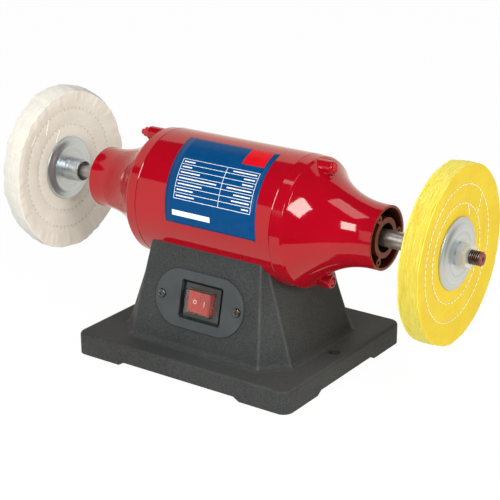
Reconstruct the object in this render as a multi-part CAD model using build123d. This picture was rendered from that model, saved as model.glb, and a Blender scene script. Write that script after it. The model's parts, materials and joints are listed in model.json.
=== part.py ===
from build123d import *
from math import atan2, cos, degrees, radians, sin, sqrt, tan
import os

# Bench buffer: a twin-ended motor on a cast pedestal, with a cloth wheel on each end of its spindle.
# Millimetres. +X runs along the spindle towards the stitched wheel, -Y faces the operator, +Z is up.
# The origin is the middle of the base, on the surface that it stands on.

# Spindle
spindle_height = 134.0
journal_d = 15.0
rotor_shoulder = 1.5  # of the rotor's seat above the journals
journal_beyond_collar = 10.8  # gap between the journal's step and the collar
wheel_seat_d = 12.0
thread_pitch = 1.75
spindle_tip = 10.2  # beyond the nut
tip_chamfer = 1.0
centre_drill_d = 3.6
centre_drill_depth = 3.0

# Base casting
base_length = 225.0
base_width = 186.0
base_thickness = 20.0
base_corner_r = 9.0
base_edge_r = 3.0
base_skirt = 6.0
base_deck = 6.0
foot_rise = 3.4  # how far the skirt lifts between the corner feet
foot_length = 48.0
foot_width = 47.0
foot_slope = 5.6
foot_pad = 22.0
mount_edge = 13.0  # from the base's end to a mounting hole's middle
mount_hole_d = 11.0
mount_boss_d = 20.0

# Pedestal, an eight-sided hollow taper
side_ledge = 24.5  # of the base beside the pedestal's foot
front_ledge = 23.0
pedestal_foot_cut_x = 20.0
pedestal_foot_cut_y = 21.0
saddle_inset = 11.4  # of the saddle from each end of the motor shell
pedestal_top_cut_x = 1.0
pedestal_top_cut_y = 7.0
pedestal_wall = 4.5
pedestal_edge_r = 2.0
pedestal_foot_r = 6.0
saddle_half_angle = 61.0
saddle_floor = 6.0

# Motor shell and end bells
shell_diameter = 114.4
shell_length = 140.0
shell_wall = 4.0
seam_bevel = 0.5
bell_length = 78.0
bell_band = 10.0
bell_band_draft = 0.8
bell_step = 1.4  # down the bevel from the band to the flare
bell_step_run = 2.3
bell_edge_r = 0.8
bell_mouth_d = 55.0
bell_mouth_run = 7.0  # level stretch before the mouth
bell_mouth_wall = 2.2
spigot_length = 5.0
spigot_wall = 4.0
hub_wall = 4.5
web_thickness = 4.0
sleeve_bore_d = 25.0
sleeve_wall = 4.7
sleeve_setback = 1.0
rib_count = 3
rib_angle = 30.0  # of the first rib, from straight up towards the operator
rib_thickness = 4.0
rib_boss_d = 6.8
rib_screw_d = 3.3
rib_screw_depth = 15.0

# Tie bolts through the lugs at the top and bottom of the bells
tie_bolt_d = 5.0
tie_bolt_margin = 0.7  # between a bolt and the shell
tie_head_d = 7.6
tie_head_height = 4.0
tie_head_sink = 2.0
tie_socket_d = 4.0
tie_nut_flats = 8.0
tie_nut_height = 4.5
tie_tip = 3.5
lug_length = 27.0
lug_d = 12.4
lug_edge_r = 1.6
lug_web = 8.0
lug_web_length = 12.0

# Motor inside
core_length = 64.0
core_back = 11.05  # of iron behind the slots
air_gap = 0.35
slot_count = 24
slot_width = 4.0
slot_depth = 12.0
slot_lip = 1.8
slot_mouth = 2.0
slot_liner = 0.3
winding_overhang = 22.0
winding_crown = 3.0
rotor_bar_count = 18
rotor_bar_d = 4.0
rotor_bar_margin = 1.4
cage_ring_cover = 3.0  # of the end ring inside the bars
cage_ring_length = 9.0

# Ball bearings
bearing_setback = 34.0  # from the shell's end to each bearing's inner face
bearing_od = 35.0
bearing_width = 11.0
race_wall = 2.0  # of a ring behind the balls' track
race_depth = 1.1
ball_count = 8
cage_margin = 1.0  # beside the balls
cage_wall = 1.8
cage_pocket_clearance = 0.1
preload_gap = 1.6
preload_washer_t = 0.6
preload_washer_width = 3.4

# Cloth wheels and what clamps them
wheel_d = 150.0
wheel_standoff = 49.8  # from a bell's mouth to the wheel
wheel_hub_thickness = 13.5
wheel_rim_thickness = 18.0
wheel_rim_round = 1.6
stitch_margin = 16.9  # from the rim's shoulder to the outer row of stitches
stitch_pitch = 15.6
stitch_sink = 0.5
wheel_pillow = 0.9
flange_d = 60.0
flange_rim = 2.6
flange_crown_d = 45.0
flange_dish = 2.2
flange_thickness = 1.8
collar_wall = 1.5
collar_length = 20.0
collar_root = 0.4  # step of the collar's root above the collar
collar_root_length = 3.6
collar_counterbore = 3.0  # step from the wheel seat
collar_counterbore_depth = 6.0
nut_flats = 19.0
nut_height = 9.5
nut_angle = 30.0  # of its corners, from straight up

# Switch on the sloping front
switch_x = 2.6
switch_plate_shift = -1.8  # of the plate's middle from the switch's
switch_plate_length = 93.0
switch_plate_width = 51.0
switch_plate_proud = 1.6
switch_plate_edge_r = 0.7
switch_screw_inset = 6.75
switch_screw_d = 4.0
switch_screw_length = 8.0
switch_screw_head_d = 7.6
switch_screw_head_height = 2.2
switch_screw_sink = 0.8
recess_end_gap = 3.2  # round the bezel
recess_side_gap = 2.05
recess_depth = 6.3
recess_corner_r = 2.0
pan_wall = 1.6
bezel_end = 6.4  # round the rocker's window
bezel_side = 5.0
bezel_height = 3.7
bezel_edge_r = 0.6
switch_body_depth = 21.0
switch_body_wall = 1.6
rocker_length = 23.2
rocker_width = 18.4
rocker_gap = 0.6
rocker_half_swing = 7.0
rocker_pivot_drop = 3.0  # pivot below the bezel's face
rocker_proud = 2.8  # of the pressed half above the bezel's face
rocker_depth = 4.0  # below the pivot
trunnion_d = 3.0
trunnion_length = 2.0
plunger_d = 3.2
plunger_round = 1.2
plunger_length = 5.0
boot_end = 1.8  # clear boot's outside beyond the rocker's window
boot_side = 0.9
boot_height = 7.1
boot_wall = 0.9
boot_edge_r = 0.8
blade_width = 6.3
blade_thickness = 0.8
blade_outside = 9.0
blade_inside = 2.0
blade_pitch_x = 15.0
blade_pitch_y = 10.0

# Electrics in the pedestal
cover_thickness = 1.5
cover_margin = 2.5  # from the cover's end to the foot pads and mounting bosses
cover_overlap_y = 11.0
cover_screw_d = 4.0
cover_screw_inset = 5.5
cover_screw_length = 5.0
cover_screw_head_d = 7.5
cover_screw_head_height = 2.4
capacitor_d = 35.0
capacitor_length = 66.0
capacitor_edge_r = 1.5
capacitor_wall_gap = 1.0
capacitor_tab_height = 8.0
capacitor_tab_root = 1.0
capacitor_tab_spacing = 14.0
clip_width = 14.0
clip_thickness = 1.2
clip_foot = 10.0
small_screw_d = 3.5
small_screw_head_d = 6.0
small_screw_head_height = 2.0
block_x = 32.0
block_gap = 12.5  # between the connector strip and the capacitor's clip
block_length = 44.0
block_width = 20.0
block_height = 15.0
block_ways = 4
block_pitch = 8.0
block_end_wall = 0.5
block_well_depth = 7.5
block_wire_d = 4.2
block_wire_height = 5.0
block_screw_d = 3.6
block_screw_slot = 0.7
block_screw_sink = 2.0
block_screw_height = 5.0
lead_d = 2.6
lead_spread = 6.0  # between the two motor leads
lead_grip = 3.0  # of a lead inside the connector strip
lead_straight = 10.0  # of a lead before it bends
lead_drop = 21.0  # of the motor leads below the saddle before they turn
gland_inset = 42.0  # from the pedestal's left foot
gland_rise = 20.0  # of its axis above the base
gland_thread_d = 16.0
gland_wall = 2.5
gland_inside = 9.0
gland_flats = 22.0
gland_flange = 5.0
gland_cap_wall = 2.0
gland_cap_edge_r = 2.5
gland_cap_length = 13.0
gland_cap_lip = 2.0
gland_seal_bore_d = 8.0
gland_locknut_height = 4.0

# Saddle fastenings
saddle_bolt_x = 24.0
saddle_bolt_d = 6.0
saddle_bolt_short = 0.5  # of the shell's bore
saddle_bolt_head_flats = 10.0
saddle_bolt_head_height = 4.0
saddle_washer_d = 12.5
saddle_washer_thickness = 1.5
lead_hole_d = 12.0
lead_hole_y = 14.0
earth_screw_x = 48.0
earth_screw_d = 5.0
earth_screw_depth = 4.5
earth_screw_head_d = 8.5
earth_screw_head_height = 3.0

# Cross-recessed screw heads, as shares of the head's height and diameter
head_round = 0.45
recess_sink = 0.5
recess_span = 0.55
recess_slot = 0.14

# Clearances
seat_clearance = 0.02  # pressed and seated fits, on the radius
running_clearance = 0.04  # balls in their races and the rocker on its trunnions, on the radius
slip_clearance = 0.1  # pieces that slide on by hand, on the radius
bolt_clearance = 0.3  # bolts in plain holes, on the radius
panel_clearance = 0.3  # moulded pieces in their cut-outs, on each side

# Sizes that follow
shell_r = shell_diameter / 2
shell_bore_r = shell_r - shell_wall
seam_x = shell_length / 2
mouth_x = seam_x + bell_length
neck_x = seam_x + bell_band
mouth_r = bell_mouth_d / 2
mouth_bore_r = mouth_r - bell_mouth_wall
band_end_r = shell_r - bell_band_draft
flare_x = neck_x + bell_step_run
neck_r = band_end_r - bell_step
level_x = mouth_x - bell_mouth_run
spigot_r = shell_bore_r - seat_clearance
spigot_bore_r = shell_bore_r - spigot_wall
tie_circle_r = shell_bore_r - tie_bolt_margin - tie_bolt_d / 2
lug_x = seam_x + lug_length
rotor_r = shell_bore_r - core_back - slot_depth - slot_lip - air_gap
rotor_seat_r = journal_d / 2 + rotor_shoulder
rotor_bar_circle_r = rotor_r - rotor_bar_margin - rotor_bar_d / 2
core_x = core_length / 2
lead_hole_x = -core_x - winding_overhang / 2
bearing_reach = seam_x + bearing_setback
bearing_end_x = bearing_reach + bearing_width
bearing_middle_x = bearing_reach + bearing_width / 2
bearing_ring_wall = race_wall + race_depth
ball_r = (bearing_od - journal_d) / 4 - race_wall - running_clearance
ball_circle_r = (bearing_od + journal_d) / 4
wheel_reach = mouth_x + wheel_standoff
wheel_end_x = wheel_reach + wheel_hub_thickness
nut_x = wheel_end_x + flange_dish + flange_thickness
spindle_reach = nut_x + nut_height + spindle_tip
journal_reach = wheel_reach - collar_length - journal_beyond_collar
collar_bore_r = wheel_seat_d / 2 + collar_counterbore
collar_r = collar_bore_r + collar_wall
thread_depth = 0.6134 * thread_pitch  # the proportions of a metric thread
thread_crest = thread_pitch / 8
thread_flank = thread_depth * tan(radians(30))
deck_z = base_thickness - base_deck
mount_x = base_length / 2 - mount_edge
pedestal_foot_length = base_length - 2 * side_ledge
pedestal_foot_width = base_width - 2 * front_ledge
pedestal_top_length = shell_length - 2 * saddle_inset
saddle_top_z = spindle_height - shell_r * cos(radians(saddle_half_angle))
saddle_top_width = 2 * shell_r * sin(radians(saddle_half_angle))
saddle_z = spindle_height - shell_r
wall_cut = 3 * pedestal_wall  # long enough to cut through a sloping wall
join = 1.0  # how far one solid of a casting runs into the next
front_draft = degrees(atan2((pedestal_foot_width - saddle_top_width) / 2, saddle_top_z - base_thickness))
spindle_line = Pos(0, 0, spindle_height)


# Shared shapes
def turned(corners):
    """Solid of revolution about the X axis from (x, radius) corners."""
    return revolve(Plane.XZ * make_face(Polyline(*corners, close=True)), Axis.X)


def turned_edges(edges):
    """Solid of revolution about the X axis from a closed run of edges in x and radius."""
    return revolve(Plane.XZ * make_face(edges), Axis.X)


def rod(start_x, end_x, radius):
    """Round bar along the X axis."""
    return Pos((start_x + end_x) / 2, 0, 0) * Rot(0, 90, 0) * Cylinder(radius, abs(end_x - start_x))


def post(bottom, top, radius):
    """Round bar along the Z axis."""
    return Pos(0, 0, (bottom + top) / 2) * Cylinder(radius, top - bottom)


def block(length, width, bottom, top):
    """Box about the Z axis between two heights."""
    return Pos(0, 0, (bottom + top) / 2) * Box(length, width, top - bottom)


def hexagon(flats, bottom, top):
    """Hexagonal bar along the Z axis."""
    outline = RegularPolygon(flats / 2, 6, major_radius=False)
    return Pos(0, 0, bottom) * extrude(outline, top - bottom)


def group(shapes):
    """Separate solids that share one node."""
    return Compound([solid for shape in shapes for solid in shape.solids()])


def both_sides(shape):
    """A shape and its mirror image across the middle, as one group."""
    return group([shape, mirror(shape, Plane.YZ)])


def cross_head_screw(shank_d, length, head_d, head_height):
    """Cross-recessed screw along Z, its head above z = 0."""
    head = post(0, head_height, head_d / 2)
    head = fillet(head.edges().group_by(Axis.Z)[-1], head_round * head_height)
    floor = head_height * (1 - recess_sink)
    recess = block(recess_span * head_d, recess_slot * head_d, floor, head_height)
    recess += block(recess_slot * head_d, recess_span * head_d, floor, head_height)
    return head + post(-length, 0, shank_d / 2) - recess


# Spindle and rotor
def spindle():
    """Stepped shaft with a threaded, centre-drilled end on each side."""
    seat_r = wheel_seat_d / 2
    root_r = seat_r - thread_depth
    half = [(bearing_reach, rotor_seat_r), (bearing_reach, journal_d / 2)]
    half += [(journal_reach, journal_d / 2), (journal_reach, seat_r)]
    groove_width = thread_pitch - thread_crest
    groove_x = wheel_end_x
    while groove_x + groove_width < spindle_reach - tip_chamfer:
        half += [(groove_x, seat_r), (groove_x + thread_flank, root_r)]
        half += [(groove_x + groove_width - thread_flank, root_r), (groove_x + groove_width, seat_r)]
        groove_x += thread_pitch
    half += [(spindle_reach - tip_chamfer, seat_r), (spindle_reach, seat_r - tip_chamfer)]
    half += [(spindle_reach, centre_drill_d / 2), (spindle_reach - centre_drill_depth, 0)]
    other_half = [(-x, radius) for x, radius in reversed(half)]
    return turned(half + other_half)


def rotor_core():
    """Laminated rotor with a round hole for each bar."""
    section = Circle(rotor_r) - Circle(rotor_seat_r + seat_clearance)
    section -= PolarLocations(rotor_bar_circle_r, rotor_bar_count) * Circle(rotor_bar_d / 2 + seat_clearance)
    return extrude(Plane.YZ * section, core_x, both=True)


def rotor_cage():
    """Cast bars joined by a short-circuit ring at each end."""
    bars = Sketch() + PolarLocations(rotor_bar_circle_r, rotor_bar_count) * Circle(rotor_bar_d / 2)
    cage = extrude(Plane.YZ * bars, core_x + cage_ring_length / 2, both=True)
    outer_r = rotor_r - rotor_bar_margin / 2
    inner_r = rotor_bar_circle_r - rotor_bar_d / 2 - cage_ring_cover
    for side in (-1, 1):
        inner_x = side * core_x
        outer_x = side * (core_x + cage_ring_length)
        cage += turned([(inner_x, inner_r), (outer_x, inner_r), (outer_x, outer_r), (inner_x, outer_r)])
    return cage


# Stator
def slot_places():
    """Where the stator slots sit, each with its own X axis pointing outwards."""
    return PolarLocations(rotor_r + air_gap + slot_lip + slot_depth / 2, slot_count)


def stator_core():
    """Laminated ring with open slots, and a groove for each tie bolt."""
    section = Circle(shell_bore_r - seat_clearance) - Circle(rotor_r + air_gap)
    slot = Rectangle(slot_depth, slot_width)
    slot += Pos(-slot_depth / 2 - slot_lip / 2, 0) * Rectangle(2 * slot_lip, slot_mouth)
    section -= slot_places() * slot
    groove_r = tie_bolt_d / 2 + bolt_clearance
    for side in (-1, 1):
        section -= Pos(0, side * tie_circle_r) * Circle(groove_r)
        section -= Pos(0, side * shell_bore_r) * Rectangle(2 * groove_r, 2 * (shell_bore_r - tie_circle_r))
    return extrude(Plane.YZ * section, core_x, both=True)


def stator_windings():
    """Coil sides in the slots, joined by a rounded bundle of end turns on each side."""
    coil_side = Rectangle(slot_depth - 2 * slot_liner, slot_width - 2 * slot_liner)
    sides = Sketch() + slot_places() * coil_side
    windings = extrude(Plane.YZ * sides, core_x + winding_overhang / 2, both=True)
    inner_r = rotor_r + air_gap + slot_lip
    outer_r = inner_r + slot_depth
    for side in (-1, 1):
        near = side * (core_x + slot_liner)
        far = side * (core_x + winding_overhang)
        crown = side * (core_x + winding_overhang - winding_crown)
        corners = [(near, inner_r), (crown, inner_r), (far, inner_r + winding_crown)]
        corners += [(far, outer_r - winding_crown), (crown, outer_r), (near, outer_r)]
        windings += turned(corners)
    return windings


# Ball bearings
def ball_track():
    """The round race that both rings share, on the right-hand bearing."""
    centre = Pos(bearing_middle_x, 0, 0) * Rot(0, 90, 0)
    return centre * Torus(ball_circle_r, ball_r + running_clearance)


def bearing_ring(inner_r, outer_r):
    """One grooved ring of the right-hand bearing."""
    corners = [(bearing_reach, inner_r), (bearing_end_x, inner_r)]
    corners += [(bearing_end_x, outer_r), (bearing_reach, outer_r)]
    return turned(corners) - ball_track()


def bearing_outer_rings():
    outer_r = bearing_od / 2
    return both_sides(bearing_ring(outer_r - bearing_ring_wall, outer_r))


def bearing_inner_rings():
    inner_r = journal_d / 2 + seat_clearance
    return both_sides(bearing_ring(inner_r, journal_d / 2 + bearing_ring_wall))


def ball_places():
    """Ball centres of the right-hand bearing."""
    middle = Plane.YZ.offset(bearing_middle_x)
    return [middle * place for place in PolarLocations(ball_circle_r, ball_count)]


def bearing_balls():
    return both_sides(group([place * Sphere(ball_r) for place in ball_places()]))


def bearing_cages():
    """Ring with a pocket bored through for each ball."""
    near = bearing_middle_x - ball_r - cage_margin
    far = bearing_middle_x + ball_r + cage_margin
    inner_r = ball_circle_r - cage_wall / 2
    outer_r = ball_circle_r + cage_wall / 2
    cage = turned([(near, inner_r), (far, inner_r), (far, outer_r), (near, outer_r)])
    for place in ball_places():
        cage -= place * Rot(0, 90, 0) * Cylinder(ball_r + cage_pocket_clearance, 4 * ball_r)
    return both_sides(cage)


def preload_washer():
    """Coned spring washer behind the left bearing's outer ring."""
    seat = -bearing_end_x - seat_clearance
    back = -bearing_end_x - preload_gap + seat_clearance
    outer_r = bearing_od / 2 - slip_clearance
    inner_r = outer_r - preload_washer_width
    corners = [(seat, outer_r), (seat - preload_washer_t, outer_r)]
    corners += [(back, inner_r), (back + preload_washer_t, inner_r)]
    return turned(corners)


# Motor shell and end bells
def motor_shell():
    """Painted tube, drilled underneath for the saddle bolts and the motor leads."""
    end = [(seam_x, shell_bore_r), (seam_x, shell_r - seam_bevel), (seam_x - seam_bevel, shell_r)]
    shell = turned(end + [(-x, radius) for x, radius in reversed(end)])
    bolt_hole = post(-shell_diameter, 0, saddle_bolt_d / 2 + seat_clearance)
    for side in (-1, 1):
        shell -= Pos(side * saddle_bolt_x, 0, 0) * bolt_hole
    return shell - Pos(lead_hole_x, lead_hole_y, 0) * post(-shell_diameter, 0, lead_hole_d / 2)


def bell_envelope():
    """The right bell filled solid: a band, a bevel and a flare that runs out level before the mouth."""
    band = Polyline((mouth_x, 0), (seam_x, 0), (seam_x, shell_r - seam_bevel), (seam_x + seam_bevel, shell_r),
                    (neck_x, band_end_r), (flare_x, neck_r))
    flare = TangentArc((level_x, mouth_r), (flare_x, neck_r), tangent=(-1, 0))
    end = Polyline((level_x, mouth_r), (mouth_x, mouth_r), (mouth_x, 0))
    outline = make_face([*band.edges(), flare, *end.edges()])
    edges_of_bevel = [corner for corner in outline.vertices() if neck_x - join < corner.X < flare_x + join]
    return revolve(Plane.XZ * fillet(edges_of_bevel, bell_edge_r), Axis.X)


def bell_void():
    """The space inside the right bell."""
    start_x = seam_x - spigot_length
    inside = Polyline((mouth_x, 0), (start_x, 0), (start_x, spigot_bore_r), (neck_x, spigot_bore_r))
    flare = TangentArc((level_x, mouth_bore_r), (neck_x, spigot_bore_r), tangent=(-1, 0))
    end = Polyline((level_x, mouth_bore_r), (mouth_x, mouth_bore_r), (mouth_x, 0))
    return turned_edges([*inside.edges(), flare, *end.edges()])


def flare_radius(x):
    """Outer radius of the bell's flare at x."""
    run = level_x - flare_x
    drop = neck_r - mouth_r
    bend_r = (run**2 + drop**2) / (2 * drop)
    return mouth_r + bend_r - sqrt(bend_r**2 - (level_x - x) ** 2)


def bell_hub(pocket_back):
    """Bearing pocket, web and the sleeve round the shaft, turned in one piece."""
    pocket_r = bearing_od / 2 + seat_clearance
    hub_r = pocket_r + hub_wall
    bore_r = sleeve_bore_d / 2
    sleeve_r = bore_r + sleeve_wall
    web_end = pocket_back + web_thickness
    web_r = flare_radius(web_end) - bell_mouth_wall / 2
    sleeve_end = mouth_x - sleeve_setback
    corners = [(bearing_reach, pocket_r), (bearing_reach, hub_r), (pocket_back, hub_r)]
    corners += [(pocket_back, web_r), (web_end, web_r), (web_end, sleeve_r), (sleeve_end, sleeve_r)]
    corners += [(sleeve_end, bore_r), (pocket_back, bore_r), (pocket_back, pocket_r)]
    return turned(corners)


def bell_ribs(envelope, web_x):
    """Ribs between sleeve and wall, each with a screw boss that opens at the mouth."""
    rib_end = mouth_x - sleeve_setback
    rib_start = web_x + web_thickness / 2
    inner_r = sleeve_bore_d / 2 + sleeve_wall / 2
    boss_r = (sleeve_bore_d / 2 + sleeve_wall + mouth_bore_r) / 2
    middle = (rib_start + rib_end) / 2
    rib = Pos(middle, 0, (inner_r + shell_r) / 2) * Box(rib_end - rib_start, rib_thickness, shell_r - inner_r)
    rib += Pos(0, 0, boss_r) * rod(rib_start, rib_end, rib_boss_d / 2)
    rib = rib & envelope
    rib -= Pos(0, 0, boss_r) * rod(rib_end - rib_screw_depth, mouth_x, rib_screw_d / 2)
    return [Rot(rib_angle + turn * 360 / rib_count, 0, 0) * rib for turn in range(rib_count)]


def lug(side):
    """Round-ended lug for a tie bolt, above or below the spindle, on a web that joins it to the flare."""
    boss = rod(seam_x, lug_x, lug_d / 2)
    boss = fillet(boss.edges().group_by(Axis.X)[-1], lug_edge_r)
    web_start = lug_x - lug_web_length
    web_end = lug_x - lug_edge_r
    drop = tie_circle_r - flare_radius(lug_x) + bell_mouth_wall / 2
    web = Box(web_end - web_start, lug_web, drop)
    return boss + Pos((web_start + web_end) / 2, 0, -side * drop / 2) * web


def end_bell(pocket_back, head_pockets):
    """Right-hand end bell; the head pockets take the tie bolts' heads."""
    envelope = bell_envelope()
    start_x = seam_x - spigot_length
    spigot = turned([(start_x, 0), (seam_x, 0), (seam_x, spigot_r), (start_x, spigot_r)])
    bell = envelope + spigot - bell_void()
    bell += bell_hub(pocket_back)
    for rib in bell_ribs(envelope, pocket_back):
        bell += rib
    for side in (-1, 1):
        lug_line = Pos(0, 0, side * tie_circle_r)
        bell += lug_line * lug(side)
        bell -= lug_line * rod(start_x, lug_x, tie_bolt_d / 2 + bolt_clearance)
        if head_pockets:
            pocket_x = lug_x - tie_head_sink - tie_head_height
            bell -= lug_line * rod(pocket_x, lug_x, tie_head_d / 2 + bolt_clearance)
    return bell


def right_end_bell():
    return end_bell(bearing_end_x, True)


def left_end_bell():
    return mirror(end_bell(bearing_end_x + preload_gap, False), Plane.YZ)


def tie_bolts():
    """Socket-headed bolts, heads sunk in the right-hand lugs, tips out of the left-hand ones."""
    head_end = lug_x - tie_head_sink
    head_start = head_end - tie_head_height
    tip = -lug_x - tie_nut_height - tie_tip
    bolt = rod(tip, head_start, tie_bolt_d / 2) + rod(head_start, head_end, tie_head_d / 2)
    socket = RegularPolygon(tie_socket_d / 2, 6, major_radius=False)
    bolt -= extrude(Plane.YZ.offset(head_end) * socket, -tie_head_height / 2)
    return group([Pos(0, 0, side * tie_circle_r) * bolt for side in (-1, 1)])


def tie_nuts():
    nut = hexagon(tie_nut_flats, 0, tie_nut_height) - post(0, tie_nut_height, tie_bolt_d / 2 + seat_clearance)
    nut = Pos(-lug_x, 0, 0) * Rot(0, -90, 0) * nut
    return group([Pos(0, 0, side * tie_circle_r) * nut for side in (-1, 1)])


# Wheels, flanges and nuts, each made on the right-hand side
def buffing_wheel():
    """Cloth disc, drawn in along its stitch rows and fanned out towards a rounded rim."""
    middle = wheel_reach + wheel_hub_thickness / 2
    hub_half = wheel_hub_thickness / 2
    rim_half = wheel_rim_thickness / 2
    outer_r = wheel_d / 2
    shoulder_r = outer_r - wheel_rim_round
    spread = (rim_half - hub_half) / (shoulder_r - flange_d / 2)
    rows = [(shoulder_r, rim_half)]
    row_r = shoulder_r - stitch_margin
    while row_r > flange_d / 2 + stitch_pitch / 2:
        rows.append((row_r, hub_half + spread * (row_r - flange_d / 2) - stitch_sink))
        row_r -= stitch_pitch
    rows.append((flange_d / 2, hub_half))
    bore_r = wheel_seat_d / 2 + slip_clearance
    edges = []
    for side in (-1, 1):
        edges.append(Line((middle + side * hub_half, bore_r), (middle + side * hub_half, flange_d / 2)))
        for (high_r, high_half), (low_r, low_half) in zip(rows, rows[1:]):
            bulge = (low_half + high_half) / 2 + wheel_pillow
            low = (middle + side * low_half, low_r)
            high = (middle + side * high_half, high_r)
            edges.append(ThreePointArc(low, (middle + side * bulge, (low_r + high_r) / 2), high))
    rim_start = (middle - rim_half, shoulder_r)
    rim_end = (middle + rim_half, shoulder_r)
    edges.append(ThreePointArc(rim_start, (middle, outer_r), rim_end))
    edges.append(Line((middle - hub_half, bore_r), (middle + hub_half, bore_r)))
    return turned_edges(edges)


def dished_profile(face_x, outwards):
    """Corners of a dished washer whose rim sits on the wheel face at face_x: wheel side, then far side."""
    bore_r = wheel_seat_d / 2 + slip_clearance
    crown_r = flange_crown_d / 2
    rim_r = flange_d / 2 - flange_rim
    dish = outwards * flange_dish
    wall = outwards * flange_thickness
    wheel_side = [(face_x + dish, bore_r), (face_x + dish, crown_r), (face_x, rim_r), (face_x, flange_d / 2)]
    far_side = [(x + wall, radius) for x, radius in reversed(wheel_side)]
    return wheel_side, far_side


def inner_flange():
    """Dished washer with a collar that reaches along the shaft towards the motor."""
    bore_r = wheel_seat_d / 2 + seat_clearance
    wheel_side, far_side = dished_profile(wheel_reach, -1)
    collar_end = wheel_reach - collar_length
    step_x = collar_end + collar_counterbore_depth
    seat_x = wheel_reach - flange_dish
    root_x = far_side[-1][0]
    root_end = root_x - collar_root_length
    collar = [(root_x, collar_r + collar_root), (root_end, collar_r + collar_root)]
    collar += [(root_end, collar_r), (collar_end, collar_r)]
    collar += [(collar_end, collar_bore_r), (step_x, collar_bore_r), (step_x, bore_r)]
    return turned([(seat_x, bore_r)] + wheel_side[1:] + far_side[:-1] + collar)


def outer_flange():
    wheel_side, far_side = dished_profile(wheel_end_x, 1)
    return turned(wheel_side + far_side)


def spindle_nut():
    """Hexagon nut with both ends chamfered to its inscribed circle."""
    corner_r = nut_flats / 2 / cos(radians(30))
    bevel = (corner_r - nut_flats / 2) * tan(radians(30))
    end = nut_x + nut_height
    outline = Rot(0, 0, nut_angle) * RegularPolygon(nut_flats / 2, 6, major_radius=False)
    nut = extrude(Plane.YZ.offset(nut_x) * outline, nut_height)
    corners = [(nut_x, 0), (nut_x, nut_flats / 2), (nut_x + bevel, corner_r)]
    corners += [(end - bevel, corner_r), (end, nut_flats / 2), (end, 0)]
    return (nut & turned(corners)) - rod(nut_x, end, wheel_seat_d / 2 + slip_clearance)


# Base casting
def pedestal_section(height, inset):
    """The pedestal's eight-sided outline at a height, drawn in by a wall."""
    share = (height - base_thickness) / (saddle_top_z - base_thickness)
    half_x = (pedestal_foot_length + share * (pedestal_top_length - pedestal_foot_length)) / 2 - inset
    half_y = (pedestal_foot_width + share * (saddle_top_width - pedestal_foot_width)) / 2 - inset
    cut_x = pedestal_foot_cut_x + share * (pedestal_top_cut_x - pedestal_foot_cut_x)
    cut_y = pedestal_foot_cut_y + share * (pedestal_top_cut_y - pedestal_foot_cut_y)
    corner = [(half_x, half_y - cut_y), (half_x - cut_x, half_y)]
    outline = corner + [(-x, y) for x, y in reversed(corner)]
    outline += [(-x, -y) for x, y in reversed(outline)][::-1]
    return Pos(0, 0, height) * make_face(Polyline(*outline, close=True))


def pedestal_half_width(height):
    """Distance from the middle to the front or rear face at a height."""
    share = (height - base_thickness) / (saddle_top_z - base_thickness)
    return (pedestal_foot_width + share * (saddle_top_width - pedestal_foot_width)) / 2


def switch_panel():
    """Frame on the sloping front at the switch: X to the right, Y up the slope, Z out of the face."""
    height = (base_thickness + saddle_top_z) / 2
    origin = (switch_x, -pedestal_half_width(height), height)
    slope = radians(front_draft)
    return Plane(origin=origin, x_dir=(1, 0, 0), z_dir=(0, -cos(slope), sin(slope)))


def gland_panel():
    """Frame on the sloping back at the cable gland, Z out of the face."""
    height = base_thickness + gland_rise
    origin = (gland_inset - pedestal_foot_length / 2, pedestal_half_width(height), height)
    slope = radians(front_draft)
    return Plane(origin=origin, x_dir=(-1, 0, 0), z_dir=(0, cos(slope), sin(slope)))


def base_plate():
    """Plate with a skirt that stands on four corner feet."""
    plate = block(base_length, base_width, 0, base_thickness)
    plate = fillet(plate.edges().filter_by(Axis.Z), base_corner_r)
    plate = fillet(plate.edges().group_by(Axis.Z)[-1], base_edge_r)
    plate -= block(base_length - 2 * base_skirt, base_width - 2 * foot_pad, 0, deck_z)
    plate -= block(base_length - 2 * foot_pad, base_width - 2 * base_skirt, 0, deck_z)
    for span, other, turn in ((base_length - 2 * foot_length, base_width, 0),
                              (base_width - 2 * foot_width, base_length, 90)):
        low = span / 2
        high = low - foot_slope
        arch = make_face(Polyline((-low, 0), (low, 0), (high, foot_rise), (-high, foot_rise), close=True))
        plate -= Rot(0, 0, turn) * extrude(Plane.XZ * arch, other, both=True)
    return plate


def pedestal_block():
    """The pedestal filled solid, with its sloping edges rounded."""
    sections = [pedestal_section(height, 0) for height in (base_thickness - join, saddle_top_z)]
    taper = loft(sections, ruled=True)
    sloping = [edge for edge in taper.edges() if abs((edge @ 1 - edge @ 0).Z) > join]
    return fillet(sloping, pedestal_edge_r)


def pedestal_hollow():
    """The space inside the pedestal, up to the saddle's floor."""
    sections = [pedestal_section(height, pedestal_wall) for height in (0, saddle_top_z)]
    return loft(sections, ruled=True) - spindle_line * rod(-base_length, base_length, shell_r + saddle_floor)


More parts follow.
